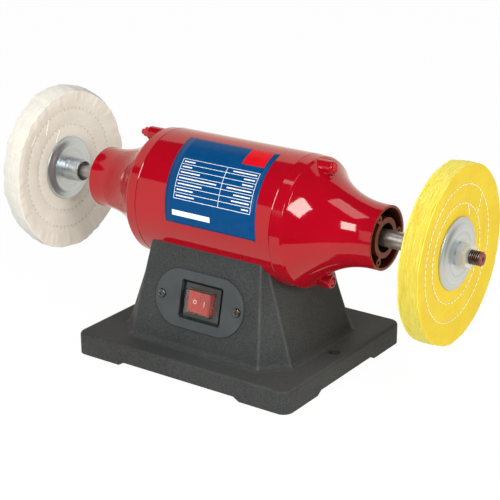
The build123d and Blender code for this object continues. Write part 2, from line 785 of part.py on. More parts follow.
def base_casting():
    """Base plate, hollow pedestal and the saddle that the motor shell lies in."""
    casting = base_plate() + pedestal_block()
    foot_edges = [edge for edge in casting.edges().filter_by_position(Axis.Z, base_thickness, base_thickness)
                  if abs(edge.center().X) < pedestal_foot_length / 2 + join
                  and abs(edge.center().Y) < pedestal_foot_width / 2 + join]
    casting = fillet(foot_edges, pedestal_foot_r)
    casting -= pedestal_hollow()
    casting -= spindle_line * rod(-base_length, base_length, shell_r + seat_clearance)
    bolt_hole = post(deck_z, spindle_height, saddle_bolt_d / 2 + bolt_clearance)
    for side in (-1, 1):
        casting += Pos(side * mount_x, 0, 0) * post(foot_rise, base_thickness - join, mount_boss_d / 2)
        casting -= Pos(side * mount_x, 0, 0) * post(0, base_thickness + pedestal_foot_r, mount_hole_d / 2)
        casting -= Pos(side * saddle_bolt_x, 0, 0) * bolt_hole
    casting -= Pos(lead_hole_x, lead_hole_y, 0) * post(deck_z, spindle_height, lead_hole_d / 2)
    earth_top = saddle_z - saddle_floor + earth_screw_depth
    casting -= Pos(earth_screw_x, 0, 0) * post(deck_z, earth_top, earth_screw_d / 2 + seat_clearance)
    opening = Rectangle(pan_length + 2 * panel_clearance, pan_width + 2 * panel_clearance)
    casting -= switch_panel() * extrude(opening, wall_cut, both=True)
    for place in switch_screw_places():
        casting -= switch_panel() * place * post(-wall_cut, wall_cut, switch_screw_d / 2 + seat_clearance)
    casting -= gland_panel() * post(-wall_cut, wall_cut, gland_thread_d / 2 + bolt_clearance)
    for place in cover_screw_places():
        casting -= place * post(deck_z, deck_z + cover_screw_length, cover_screw_d / 2 + seat_clearance)
    return casting


# Switch, each piece made in the switch panel's own frame
recess_z = switch_plate_proud - recess_depth
bezel_z = recess_z + bezel_height
pivot_z = bezel_z - rocker_pivot_drop
window_length = rocker_length + 2 * rocker_gap
window_width = rocker_width + 2 * rocker_gap
bezel_length = window_length + 2 * bezel_end
bezel_width = window_width + 2 * bezel_side
recess_length = bezel_length + 2 * recess_end_gap
recess_width = bezel_width + 2 * recess_side_gap
pan_length = recess_length + 2 * pan_wall
pan_width = recess_width + 2 * pan_wall
switch_body_length = window_length + 2 * switch_body_wall
switch_body_width = window_width + 2 * switch_body_wall
switch_floor_z = recess_z - switch_body_depth


def switch_screw_places():
    reach = switch_plate_length / 2 - switch_screw_inset
    return [Pos(switch_plate_shift + side * reach, 0, 0) for side in (-1, 1)]


def switch_plate():
    """Moulded plate with a sunk pan for the switch and a seat for each screw."""
    outline = SlotOverall(switch_plate_length, switch_plate_width)
    plate = Pos(switch_plate_shift, 0, 0) * extrude(outline, switch_plate_proud)
    pan = RectangleRounded(pan_length, pan_width, recess_corner_r + pan_wall)
    plate += Pos(0, 0, recess_z - pan_wall) * extrude(pan, recess_depth)
    recess = RectangleRounded(recess_length, recess_width, recess_corner_r)
    plate -= Pos(0, 0, recess_z) * extrude(recess, recess_depth)
    plate = fillet(plate.edges().group_by(Axis.Z)[-1], switch_plate_edge_r)
    window = Rectangle(switch_body_length + 2 * panel_clearance, switch_body_width + 2 * panel_clearance)
    plate -= Pos(0, 0, recess_z - pan_wall) * extrude(window, pan_wall)
    seat_z = switch_plate_proud - switch_screw_sink
    for place in switch_screw_places():
        plate -= place * post(0, switch_plate_proud, switch_screw_d / 2 + bolt_clearance)
        plate -= place * post(seat_z, switch_plate_proud, switch_screw_head_d / 2 + bolt_clearance)
    return switch_panel() * plate


def switch_plate_screws():
    screw = cross_head_screw(switch_screw_d, switch_screw_length, switch_screw_head_d,
                             switch_screw_head_height)
    seat = Pos(0, 0, switch_plate_proud - switch_screw_sink)
    return switch_panel() * group([place * seat * screw for place in switch_screw_places()])


def switch_body():
    """Bezel and housing in one moulding, with a blind hole for each rocker trunnion."""
    bezel = block(bezel_length, bezel_width, recess_z, bezel_z)
    bezel = fillet(bezel.edges().group_by(Axis.Z)[-1], bezel_edge_r)
    body = bezel + block(switch_body_length, switch_body_width, switch_floor_z, recess_z)
    body -= block(window_length, window_width, switch_floor_z + switch_body_wall, bezel_z)
    reach = rocker_width / 2 + trunnion_length + rocker_gap
    pivot = Rot(90, 0, 0) * Cylinder(trunnion_d / 2 + running_clearance, 2 * reach)
    body -= Pos(0, 0, pivot_z) * pivot
    slot_thickness = blade_thickness + 2 * seat_clearance
    slot_length = blade_width + 2 * seat_clearance
    slot = block(slot_thickness, slot_length, switch_floor_z, switch_floor_z + switch_body_wall)
    for place in blade_places():
        body -= place * slot
    return switch_panel() * body


def blade_places():
    return [Pos(sx * blade_pitch_x / 2, sy * blade_pitch_y / 2, 0) for sx in (-1, 1) for sy in (-1, 1)]


def switch_terminals():
    """Push-on blades through the floor of the switch."""
    top = switch_floor_z + switch_body_wall + blade_inside
    blade = block(blade_thickness, blade_width, switch_floor_z - blade_outside, top)
    return switch_panel() * group([place * blade for place in blade_places()])


def rocker_pose():
    """Off position: the left half is pressed level and the right half stands up."""
    return Pos(0, 0, pivot_z) * Rot(0, -rocker_half_swing, 0)


def rocker():
    """Rocker with a shallow V across its top, ends that follow the swing below it, and two trunnions."""
    end_r = rocker_length / 2
    crown = rocker_pivot_drop + rocker_proud
    top = crown + end_r * tan(radians(rocker_half_swing))
    side_profile = [(-end_r, -rocker_depth), (end_r, -rocker_depth), (end_r, top)]
    side_profile += [(0, crown), (-end_r, top)]
    profile = Plane.XZ * make_face(Polyline(*side_profile, close=True))
    paddle = extrude(profile, rocker_width / 2, both=True)
    swept = Rot(90, 0, 0) * Cylinder(end_r, rocker_width) + block(rocker_length, rocker_width, 0, top)
    paddle = paddle & swept
    trunnions = Rot(90, 0, 0) * Cylinder(trunnion_d / 2, rocker_width + 2 * trunnion_length)
    return switch_panel() * rocker_pose() * (paddle + trunnions)


def switch_boot():
    """Clear dust boot that stands on the bezel over the rocker."""
    length = window_length + 2 * boot_end
    width = window_width + 2 * boot_side
    top = bezel_z + boot_height
    boot = block(length, width, bezel_z, top)
    boot = fillet(boot.edges().group_by(Axis.Z)[-1] + boot.edges().filter_by(Axis.Z), boot_edge_r)
    boot -= block(length - 2 * boot_wall, width - 2 * boot_wall, bezel_z, top - boot_wall)
    return switch_panel() * boot


def switch_contact():
    """Sprung plunger that the rocker carries on its underside."""
    plunger = post(-rocker_depth - plunger_length, -rocker_depth, plunger_d / 2)
    plunger = fillet(plunger.edges().group_by(Axis.Z)[0], min(plunger_round, 0.45 * plunger_d))
    return switch_panel() * rocker_pose() * plunger


# Cover and electrics inside the pedestal
cover_half_x = min(base_length / 2 - foot_pad, mount_x - mount_boss_d / 2) - cover_margin
cover_half_y = pedestal_foot_width / 2 - pedestal_wall + cover_overlap_y
clip_reach = capacitor_d / 2 + clip_thickness + clip_foot


def cover_screw_places():
    x = pedestal_foot_length / 2 - pedestal_foot_cut_x
    y = cover_half_y - cover_screw_inset
    return [Pos(sx * x, sy * y, 0) for sx in (-1, 1) for sy in (-1, 1)]


def capacitor_place():
    """Middle of the capacitor, lying on the cover along the back wall."""
    wall_y = pedestal_half_width(deck_z) - pedestal_wall
    return Pos(0, wall_y - capacitor_wall_gap - clip_reach, deck_z + capacitor_d / 2)


def clip_screw_places():
    middle = capacitor_place().position
    return [Pos(0, middle.Y + side * (clip_reach - clip_foot / 2), deck_z) for side in (-1, 1)]


def bottom_cover():
    """Sheet plate under the deck, closing the pedestal."""
    cover = block(2 * cover_half_x, 2 * cover_half_y, deck_z - cover_thickness, deck_z)
    for place in cover_screw_places():
        cover -= place * post(0, deck_z, cover_screw_d / 2 + bolt_clearance)
    for place in clip_screw_places() + block_screw_places():
        cover -= place * post(-deck_z, 0, small_screw_d / 2 + seat_clearance)
    return cover


def bottom_cover_screws():
    screw = cross_head_screw(cover_screw_d, cover_screw_length + cover_thickness, cover_screw_head_d,
                             cover_screw_head_height)
    seat = Pos(0, 0, deck_z - cover_thickness) * Rot(180, 0, 0)
    return group([place * seat * screw for place in cover_screw_places()])


def capacitor():
    """Round can with two push-on tabs at one end."""
    half = capacitor_length / 2
    can = rod(-half, half, capacitor_d / 2 - seat_clearance)
    can = fillet(can.edges(), capacitor_edge_r)
    tab = Box(capacitor_tab_height + capacitor_tab_root, blade_width, blade_thickness)
    tab_x = half + (capacitor_tab_height - capacitor_tab_root) / 2
    for side in (-1, 1):
        can += Pos(tab_x, 0, side * capacitor_tab_spacing / 2) * tab
    return capacitor_place() * can


def capacitor_clip():
    """Strap over the capacitor with a foot on each side."""
    inner_r = capacitor_d / 2
    outer_r = inner_r + clip_thickness
    strap = Circle(outer_r) + Pos(0, -inner_r / 2) * Rectangle(2 * outer_r, inner_r)
    strap += Pos(0, -inner_r + clip_thickness / 2) * Rectangle(2 * clip_reach, clip_thickness)
    strap -= Circle(inner_r) + Pos(0, -inner_r / 2) * Rectangle(2 * inner_r, inner_r)
    floor = Pos(0, -inner_r - outer_r) * Rectangle(4 * clip_reach, 2 * outer_r)
    clip = capacitor_place() * extrude(Plane.YZ * (strap - floor), clip_width / 2, both=True)
    for place in clip_screw_places():
        clip -= place * post(0, 2 * clip_thickness, small_screw_d / 2 + bolt_clearance)
    return clip


def small_screw(grip):
    """Short pan-head screw through a grip, its tip flush with the underside of the cover."""
    return cross_head_screw(small_screw_d, grip + cover_thickness, small_screw_head_d,
                            small_screw_head_height)


def capacitor_clip_screws():
    screw = Pos(0, 0, clip_thickness) * small_screw(clip_thickness)
    return group([place * screw for place in clip_screw_places()])


def block_place():
    """Middle of the connector strip's underside, in front of the capacitor's clip."""
    return Pos(block_x, capacitor_place().position.Y - clip_reach - block_gap - block_width / 2, deck_z)


def block_screw_places():
    reach = block_length / 2 - small_screw_head_d / 2 - bolt_clearance - block_end_wall
    return [block_place() * Pos(side * reach, 0, 0) for side in (-1, 1)]


def way_places():
    first = -(block_ways - 1) * block_pitch / 2
    return [block_place() * Pos(first + way * block_pitch, 0, 0) for way in range(block_ways)]


def terminal_block():
    """Moulded connector strip with a cross hole and a screw well for each way."""
    body = block_place() * block(block_length, block_width, 0, block_height)
    wire_hole = Pos(0, 0, block_wire_height) * Rot(90, 0, 0) * Cylinder(block_wire_d / 2, block_width)
    well_floor = block_height - block_well_depth
    for place in way_places():
        body -= place * wire_hole
        body -= place * post(block_wire_height, block_height, block_screw_d / 2 + seat_clearance)
    for place in block_screw_places():
        body -= place * post(0, block_height, small_screw_d / 2 + bolt_clearance)
        body -= place * post(well_floor, block_height, small_screw_head_d / 2 + bolt_clearance)
    return body


def terminal_screws():
    """One slotted clamp screw for each way of the connector strip."""
    top = block_height - block_screw_sink
    screw = post(top - block_screw_height, top, block_screw_d / 2)
    screw -= block(block_screw_d, block_screw_slot, top - block_screw_slot, top)
    return group([place * screw for place in way_places()])


def terminal_block_screws():
    well_floor = block_height - block_well_depth
    screw = Pos(0, 0, well_floor) * small_screw(well_floor)
    return group([place * screw for place in block_screw_places()])


# Leads, each through bends that were laid out by hand
def lead(route):
    """Insulated wire along a route, each bend as wide as its two runs allow."""
    bend_share = 0.45  # of the shorter run that a bend takes up
    points = [Vector(*point) for point in route]
    runs = [end - start for start, end in zip(points, points[1:])]
    radii = []
    for run, next_run in zip(runs, runs[1:]):
        half_turn = radians(run.get_angle(next_run)) / 2
        radii.append(bend_share * min(run.length, next_run.length) / tan(half_turn))
    path = FilletPolyline(*points, radius=radii)
    return sweep(Plane(origin=points[0], z_dir=runs[0]) * Circle(lead_d / 2), path)


def way_entry(way, side):
    """Points straight into one way of the connector strip: outside it and gripped inside."""
    place = way_places()[way].position
    wire_z = deck_z + block_wire_height
    mouth_y = place.Y + side * block_width / 2
    return [(place.X, mouth_y + side * lead_straight, wire_z), (place.X, mouth_y - side * lead_grip, wire_z)]


def led_in(way, side, steps):
    """The end of a lead: its bends, stepped off from its way in straight runs, and then the way."""
    entry = way_entry(way, side)
    bends = [tuple(start + lead_straight * step for start, step in zip(entry[0], bend)) for bend in steps]
    return bends + entry


def motor_leads():
    """From the end turns down through the saddle to the back of the connector strip."""
    turns_r = rotor_r + air_gap + slot_lip + slot_depth
    top = spindle_height - sqrt(turns_r**2 - (lead_hole_y - lead_d / 2) ** 2) - seat_clearance
    leads = []
    for way, side, steps in ((0, 1, [(-4.2, -0.1, 1.5), (-1.2, -0.2, 1.1), (-0.3, 0, 0.8)]),
                             (1, -1, [(-5.4, 0.5, 1.1), (-1.4, 0.45, 0.9), (-0.3, 0.6, 0.65)])):
        x = lead_hole_x + side * lead_spread / 2
        turn_z = saddle_z - saddle_floor - lead_drop + side * lead_spread / 4
        start = [(x, lead_hole_y, top), (x, lead_hole_y, turn_z)]
        leads.append(lead(start + led_in(way, 1, steps)))
    return group(leads)


def capacitor_leads():
    """From the capacitor's tabs to the back of the connector strip."""
    middle = capacitor_place().position
    tab_x = capacitor_length / 2 + capacitor_tab_height
    leads = []
    for way, side, steps in ((3, 1, [(1.2, 2.3, 1.6), (1.1, 1.3, 1.0), (0.4, 0.5, 0.3)]),
                             (2, -1, [(1.8, 2.4, 0.5), (1.4, 1.5, 0.3), (0.5, 0.6, 0.1)])):
        tab_z = middle.Z + side * capacitor_tab_spacing / 2
        start = [(tab_x, middle.Y, tab_z), (tab_x + lead_straight, middle.Y, tab_z)]
        leads.append(lead(start + led_in(way, 1, steps)))
    return group(leads)


def switch_leads():
    """From two of the switch's blades to the front of the connector strip."""
    leads = []
    for way, blade, steps in ((0, 0, [(-2.0, 1.7, 1.9), (-0.7, 0.6, 1.2), (0, -0.6, 0.6)]),
                              (1, 2, [(-1.5, 1.7, 1.9), (-0.4, 0.4, 1.2), (0, -0.6, 0.6)])):
        tip = switch_panel().location * blade_places()[blade] * Pos(0, 0, switch_floor_z - blade_outside)
        out = tip * Pos(0, 0, -lead_straight)
        leads.append(lead([tip.position, out.position] + led_in(way, -1, steps)))
    return group(leads)


# Cable gland, each piece made in the gland panel's own frame
gland_bore_r = gland_thread_d / 2 - gland_wall


def cable_gland():
    """Gland body: hexagon flange outside the wall and a hollow shank through it."""
    body = hexagon(gland_flats, 0, gland_flange)
    body += post(-pedestal_wall - gland_inside, 0, gland_thread_d / 2)
    body += post(gland_flange, gland_flange + gland_cap_length / 2, gland_thread_d / 2)
    bore = post(-pedestal_wall - gland_inside, gland_flange + gland_cap_length, gland_bore_r)
    return gland_panel() * (body - bore)


def gland_cap():
    """Round compression nut with a lip that holds the seal."""
    end = gland_flange + gland_cap_length
    cap = post(gland_flange, end, gland_thread_d / 2 + gland_cap_wall)
    cap = fillet(cap.edges().group_by(Axis.Z)[-1], gland_cap_edge_r)
    cap -= post(gland_flange, end - gland_cap_lip, gland_thread_d / 2 + seat_clearance)
    return gland_panel() * (cap - post(gland_flange, end, gland_bore_r))


def gland_seal():
    """Rubber ring between the gland body and the lip of its cap."""
    start = gland_flange + gland_cap_length / 2
    end = gland_flange + gland_cap_length - gland_cap_lip
    seal = post(start, end, gland_thread_d / 2 - slip_clearance) - post(start, end, gland_seal_bore_d / 2)
    return gland_panel() * seal


def gland_locknut():
    """Thin hexagon nut on the gland's shank, against the inside of the wall."""
    face = -pedestal_wall * cos(radians(front_draft))
    end = face - gland_locknut_height
    nut = hexagon(gland_flats, end, face) - post(end, face, gland_thread_d / 2 + seat_clearance)
    return gland_panel() * nut


# Saddle fastenings, driven upwards from inside the pedestal
def saddle_bolts():
    seat = saddle_z - saddle_floor - saddle_washer_thickness
    bolt = hexagon(saddle_bolt_head_flats, seat - saddle_bolt_head_height, seat)
    bolt += post(seat, spindle_height - shell_bore_r - saddle_bolt_short, saddle_bolt_d / 2)
    return group([Pos(side * saddle_bolt_x, 0, 0) * bolt for side in (-1, 1)])


def saddle_washers():
    top = saddle_z - saddle_floor
    washer = post(top - saddle_washer_thickness, top, saddle_washer_d / 2)
    washer -= post(top - saddle_washer_thickness, top, saddle_bolt_d / 2 + slip_clearance)
    return group([Pos(side * saddle_bolt_x, 0, 0) * washer for side in (-1, 1)])


def earth_screw():
    screw = cross_head_screw(earth_screw_d, earth_screw_depth, earth_screw_head_d, earth_screw_head_height)
    return Pos(earth_screw_x, 0, saddle_z - saddle_floor) * Rot(180, 0, 0) * screw


on_spindle = {
    "spindle": spindle(),
    "rotor_core": rotor_core(),
    "rotor_cage": rotor_cage(),
    "stator_core": stator_core(),
    "stator_windings": stator_windings(),
    "bearing_outer_rings": bearing_outer_rings(),
    "bearing_balls": bearing_balls(),
    "bearing_cages": bearing_cages(),
    "bearing_inner_rings": bearing_inner_rings(),
    "preload_washer": preload_washer(),
    "motor_shell": motor_shell(),
    "left_end_bell": left_end_bell(),
    "right_end_bell": right_end_bell(),
    "tie_bolts": tie_bolts(),
    "tie_nuts": tie_nuts(),
    "left_inner_flange": mirror(inner_flange(), Plane.YZ),
    "right_inner_flange": inner_flange(),
    "white_wheel": mirror(buffing_wheel(), Plane.YZ),
    "yellow_wheel": buffing_wheel(),
    "left_outer_flange": mirror(outer_flange(), Plane.YZ),
    "right_outer_flange": outer_flange(),
    "left_nut": mirror(spindle_nut(), Plane.YZ),
    "right_nut": spindle_nut(),
}
in_base = {
    "base_casting": base_casting(),
    "switch_plate": switch_plate(),
    "switch_plate_screws": switch_plate_screws(),
    "switch_body": switch_body(),
    "switch_terminals": switch_terminals(),
    "rocker": rocker(),
    "switch_boot": switch_boot(),
    "switch_contact": switch_contact(),
    "bottom_cover": bottom_cover(),
    "bottom_cover_screws": bottom_cover_screws(),
    "capacitor": capacitor(),
    "capacitor_clip": capacitor_clip(),
    "capacitor_clip_screws": capacitor_clip_screws(),
    "terminal_block": terminal_block(),
    "terminal_screws": terminal_screws(),
    "terminal_block_screws": terminal_block_screws(),
    "motor_leads": motor_leads(),
    "capacitor_leads": capacitor_leads(),
    "switch_leads": switch_leads(),
    "cable_gland": cable_gland(),
    "gland_cap": gland_cap(),
    "gland_seal": gland_seal(),
    "gland_locknut": gland_locknut(),
    "saddle_bolts": saddle_bolts(),
    "saddle_washers": saddle_washers(),
    "earth_screw": earth_screw(),
}

os.makedirs("parts", exist_ok=True)
for node, shape in on_spindle.items():
    export_step(spindle_line * shape, f"parts/{node}.step")
for node, shape in in_base.items():
    export_step(shape, f"parts/{node}.step")
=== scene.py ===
"""Looks of a bench buffer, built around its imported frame.

Metres. +X runs along the spindle towards the stitched yellow wheel, -Y faces the operator, +Z is up.
Angles round the spindle start at the operator's side and grow upwards.
"""
import json
import math
from types import SimpleNamespace

import bmesh
import bpy
from mathutils import Matrix, Vector
from mathutils.bvhtree import BVHTree


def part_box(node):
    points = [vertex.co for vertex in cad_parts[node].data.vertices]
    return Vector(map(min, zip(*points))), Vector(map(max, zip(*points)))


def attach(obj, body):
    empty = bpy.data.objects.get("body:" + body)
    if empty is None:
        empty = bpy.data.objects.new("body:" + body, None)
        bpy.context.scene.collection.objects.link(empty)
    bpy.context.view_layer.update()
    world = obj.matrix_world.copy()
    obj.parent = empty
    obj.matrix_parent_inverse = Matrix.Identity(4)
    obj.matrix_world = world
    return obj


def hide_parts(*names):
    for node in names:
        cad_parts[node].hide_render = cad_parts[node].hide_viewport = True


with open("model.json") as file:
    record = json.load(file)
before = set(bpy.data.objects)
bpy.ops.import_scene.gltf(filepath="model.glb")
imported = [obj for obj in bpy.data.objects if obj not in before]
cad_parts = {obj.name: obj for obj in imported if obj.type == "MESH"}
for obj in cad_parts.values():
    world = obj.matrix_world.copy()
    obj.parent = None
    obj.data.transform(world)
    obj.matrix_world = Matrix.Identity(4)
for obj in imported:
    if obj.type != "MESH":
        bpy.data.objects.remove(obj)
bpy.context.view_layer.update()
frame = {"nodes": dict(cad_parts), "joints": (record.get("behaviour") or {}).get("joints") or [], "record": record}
nodes = frame["nodes"]
mm = 0.001

# Places on the frame
spindle_z = frame["joints"][0]["pos_m"][2]
shell_low, shell_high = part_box("motor_shell")
shell_r = (shell_high.z - shell_low.z) / 2
spindle_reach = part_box("spindle")[1].x
mouth_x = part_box("right_end_bell")[1].x
wheel_low, wheel_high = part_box("yellow_wheel")
wheel_middle = (wheel_low.x + wheel_high.x) / 2
flange_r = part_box("right_outer_flange")[1].z - spindle_z
base_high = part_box("base_casting")[1]

# View of the photograph, whose frame is square
view_azimuth = 35.627
view_elevation = 18.824
view_distance = 1.300
view_aim = Vector((0, 0, 0.130))
view_yaw = 0.404
view_pitch = 1.551
view_roll = 0.393
view_lens = 107.5
view_sensor = 36.0

# Studio, as matt and as glossy surfaces see it
daylight = 0.30  # on matt surfaces, from all sides
rear_light = 0.50  # added to it from behind the machine
room_dark = 0.03
mirror_warmth = (1.0, 0.93, 0.82)  # of the white table, card and backdrop in gloss
table_reach = 0.355  # from the machine's middle to the white table's front edge, towards the camera
card_azimuth = -24.0  # right-hand edge of a white card at the left front
card_top = 25.5
backdrop_top = 46.0

# Softboxes: the place in mm on the right-hand bell that mirrors one, its azimuth and elevation from
# there, its width and its height
softboxes = {"right_softbox": ((90.5, -40.0, 158.0), 63.5, 27.5, 0.52, 0.66),
             "front_softbox": ((126.0, -26.0, 147.0), -9.0, 31.0, 0.47, 0.58)}
softbox_distance = 1.5
softbox_level = 14.5
overhead_aim = Vector((0, -0.25, 0))
overhead_rise = Vector((0, 0, 1.6))
overhead_size = (1.1, 0.65)
overhead_level = 2.9

# Spindle
journal_r = 7.5 * mm
journal_reach = 167.0 * mm
seat_r = 6.0 * mm
thread_start = 211.3 * mm
thread_pitch = 1.75 * mm
thread_depth = 1.0 * mm
tip_chamfer = 1.0 * mm
thread_end = spindle_reach - tip_chamfer
drill_r = 1.8 * mm
drill_depth = 3.0 * mm

# Washers on both sides of a wheel
flange_rim = 2.6 * mm
flange_crown_r = 22.5 * mm
flange_dish = 2.2 * mm
flange_sheet = 1.8 * mm
flange_bore_r = 6.02 * mm
collar_r = 10.5 * mm
collar_bore_r = 9.0 * mm
collar_bore_depth = 6.0 * mm
collar_length = 20.0 * mm
collar_root_r = 10.9 * mm
collar_root_length = 3.6 * mm

# End bells: the flare is an arc that comes level near the mouth
flare_start = 82.3 * mm
flare_level = 141.0 * mm
flare_bend_r = 76.4 * mm
mouth_r = 27.5 * mm
bell_skin = 1.3 * mm  # from the painted outside to the bare inside
hub_bore_r = 13.0 * mm
lug_face = 97.0 * mm
lug_circle_r = 50.0 * mm

# Pedestal: its deck, and the foot and top in mm of the ridges on one quarter
deck_z = 20.0 * mm
ridges = (((88.0, 49.0, 20.0), (58.6, 43.0, 106.3)),
          ((68.0, 70.0, 20.0), (57.6, 50.0, 106.3)))

# Cloth wheels
hub_half = 6.75 * mm
wheel_bore_r = 6.1 * mm
wheel_plies = 20
groove_depth = 7.0 * mm
lip = 0.7 * mm
stitch_rows = (56.5 * mm, 40.9 * mm)
stitch_length = 5.2 * mm

# Label on the motor shell, whose sides lean as it was stuck on askew
label_left = -36.2 * mm
label_width = 93.4 * mm
label_low_angle = math.radians(-4.6)
label_high_angle = math.radians(80.6)
label_slant = 7.8 * mm
label_thickness = 0.25 * mm
label_line = 0.4 * mm
red_block = (66.0 * mm, 88.3 * mm, 64.0 * mm)  # left, right, low
white_strip = (7.9 * mm, 47.4 * mm, 7.0 * mm, 11.5 * mm)  # left, right, low, high
table_columns = (9.2 * mm, 55.4 * mm, 88.0 * mm)
table_low = 21.5 * mm
table_high = 57.4 * mm
table_margin = 2.0 * mm
table_bar_half = 0.5 * mm
table_bars = ((19, 7), (17, 18), (25, 17), (39, 25), (20, 11), (10, 11), (11, 24))  # lengths in mm, by row

# Switch: its panel leans back with the pedestal's front
panel_middle = Vector((2.6, -60.014, 63.134)) * mm
panel_out = Vector((0, -0.97423, 0.22554))
panel_up = Vector((0, 0.22554, 0.97423))
mark_offset = 5.45 * mm
mark_ring = (1.15 * mm, 1.95 * mm)
mark_bar = (-0.45 * mm, 0.45 * mm)
mark_bar_levels = (-2.2 * mm, -0.7 * mm, 0.7 * mm, 2.2 * mm)
mark_lifts = (-0.2 * mm, 0.12 * mm)  # underside and top of a mark, from the rocker's face


# Node fields
def math_method(operation):
    return lambda *values: calc(operation, *values)


class Field:
    """One output of a node, with arithmetic that adds nodes to the same tree."""

    def __init__(self, socket):
        self.socket = socket
        self.tree = socket.id_data

    def __rsub__(self, other):
        return calc("SUBTRACT", other, self)

    def __neg__(self):
        return calc("MULTIPLY", self, -1.0)

    __add__ = __radd__ = math_method("ADD")
    __sub__ = math_method("SUBTRACT")
    __mul__ = __rmul__ = math_method("MULTIPLY")
    __truediv__ = math_method("DIVIDE")
    __pow__ = math_method("POWER")
    __abs__ = math_method("ABSOLUTE")
    __gt__ = math_method("GREATER_THAN")
    __lt__ = math_method("LESS_THAN")


def feed(socket, value):
    """Links a field to a socket, or sets the socket's own value."""
    if isinstance(value, Field):
        value.tree.links.new(value.socket, socket)
    else:
        socket.default_value = value


def add_node(tree, kind, inputs=None, **settings):
    """A new node with its settings made and its inputs fed."""
    node = tree.nodes.new(kind)
    for name, value in settings.items():
        setattr(node, name, value)
    for key, value in (inputs or {}).items():
        feed(node.inputs[key], value)
    return node


def added(tree, kind, inputs=None, output=0, **settings):
    """One output of a new node."""
    return Field(add_node(tree, kind, inputs, **settings).outputs[output])


def tree_of(*values):
    return next(value.tree for value in values if isinstance(value, Field))


def calc(operation, *values):
    """A Math node over fields and numbers."""
    return added(tree_of(*values), "ShaderNodeMath", dict(enumerate(values)), operation=operation)


def sine(field):
    return calc("SINE", field)


def cosine(field):
    return calc("COSINE", field)


def larger(first, second):
    return calc("MAXIMUM", first, second)


def length_of(first, second):
    return calc("SQRT", first * first + second * second)


def rise(field, low, high):
    """0 below low, 1 above high, smooth between them."""
    inputs = {"Value": field, "From Min": low, "From Max": high}
    return added(field.tree, "ShaderNodeMapRange", inputs, "Result", interpolation_type="SMOOTHSTEP")


def bell_curve(field, middle, width):
    """1 at the middle, falling to nothing over about twice the width."""
    offset = (field - middle) / width
    return calc("EXPONENT", -(offset * offset))


def vector(x, y, z):
    return added(tree_of(x, y, z), "ShaderNodeCombineXYZ", dict(enumerate((x, y, z))))


def split(field):
    node = add_node(field.tree, "ShaderNodeSeparateXYZ", {0: field})
    return [Field(output) for output in node.outputs]


def about_spindle(place):
    """The x of a place and its radius about the spindle's axis."""
    x, y, z = split(place)
    return x, length_of(y, z - spindle_z)


def round_spindle(x, radius, angle):
    """A place at a radius and an angle round the spindle."""
    return vector(x, -(radius * cosine(angle)), radius * sine(angle) + spindle_z)


def vector_math(operation, *places, output=0):
    inputs = dict(enumerate(places))
    return added(tree_of(*places), "ShaderNodeVectorMath", inputs, output, operation=operation)


def off_line(place, start, end):
    """Distance from a line through two points."""
    cross = vector_math("CROSS_PRODUCT", vector_math("SUBTRACT", place, start), (end - start).normalized())
    return vector_math("LENGTH", cross, output="Value")


def noise(place, scale, detail=2.0, roughness=0.5):
    inputs = {"Vector": place, "Scale": scale, "Detail": detail, "Roughness": roughness}
    return added(place.tree, "ShaderNodeTexNoise", inputs)


def swing(amount, place, scale, detail, roughness=0.5):
    """Uneven offset of up to an amount either way."""
    return (noise(place, scale, detail, roughness) - 0.5) * 2 * amount


def tint(factor, first, second):
    """Colour between two, by a factor; each is a field or (red, green, blue)."""
    first, second = (colour if isinstance(colour, Field) else (*colour, 1) for colour in (first, second))
    return added(factor.tree, "ShaderNodeMix", {0: factor, 6: first, 7: second}, 2, data_type="RGBA")


def new_tree(kind, name, outputs, **inputs):
    """A node tree, its input fields and its output node; words name the sockets of each type."""
    tree = bpy.data.node_groups.new(name, kind)
    for in_out, sockets in (("INPUT", inputs), ("OUTPUT", outputs)):
        for socket_type, words in sockets.items():
            for label in words.split():
                tree.interface.new_socket(label, in_out=in_out, socket_type="NodeSocket" + socket_type)
    entry = tree.nodes.new("NodeGroupInput")
    fields = {label: Field(entry.outputs[label]) for words in inputs.values() for label in words.split()}
    return tree, SimpleNamespace(**fields), tree.nodes.new("NodeGroupOutput")


# Effects that several finishes share
def effect_tree(name, numbers):
    return new_tree("ShaderNodeTree", name, {"Float": "height tone"}, Vector="place", Float=numbers)


def grain_group():
    """Fine relief and slow unevenness of a cast, moulded or painted surface."""
    tree, field, out = effect_tree("surface_grain", "grain mottle")
    feed(out.inputs["height"], noise(field.place, field.grain, 3.0, 0.55))
    feed(out.inputs["tone"], rise(noise(field.place, field.mottle, 2.0, 0.5), 0.3, 0.7))
    return tree


def lathe_group():
    """Fine turning marks round the spindle's axis."""
    tree, field, out = effect_tree("lathe_marks", "marks")
    x, y, z = split(field.place)
    along = vector(x * field.marks, length_of(y, z - spindle_z) * field.marks, (y + z) * 6.0)
    feed(out.inputs["height"], noise(along, 1.0, 3.0, 0.6))
    feed(out.inputs["tone"], rise(noise(along, 0.21, 1.0), 0.35, 0.65))
    return tree


def weave_group():
    """Plain weave across the wheel's face, with thick and thin threads."""
    tree, field, out = effect_tree("plain_weave", "threads")
    x, y, z = split(field.place)
    turn = field.threads * math.pi
    feed(out.inputs["height"], sine((y + x) * turn) * sine((z + x) * turn) * 0.5 + 0.5)
    warp = noise(vector(x, y * 900.0, z * 40.0), 1.0, 2.0)
    weft = noise(vector(x, y * 40.0, z * 900.0), 1.0, 2.0)
    feed(out.inputs["tone"], rise((warp + weft) * 0.5, 0.36, 0.64))
    return tree


groups = {"grain": grain_group(), "lathe": lathe_group(), "weave": weave_group()}


# Finishes
finishes = {}


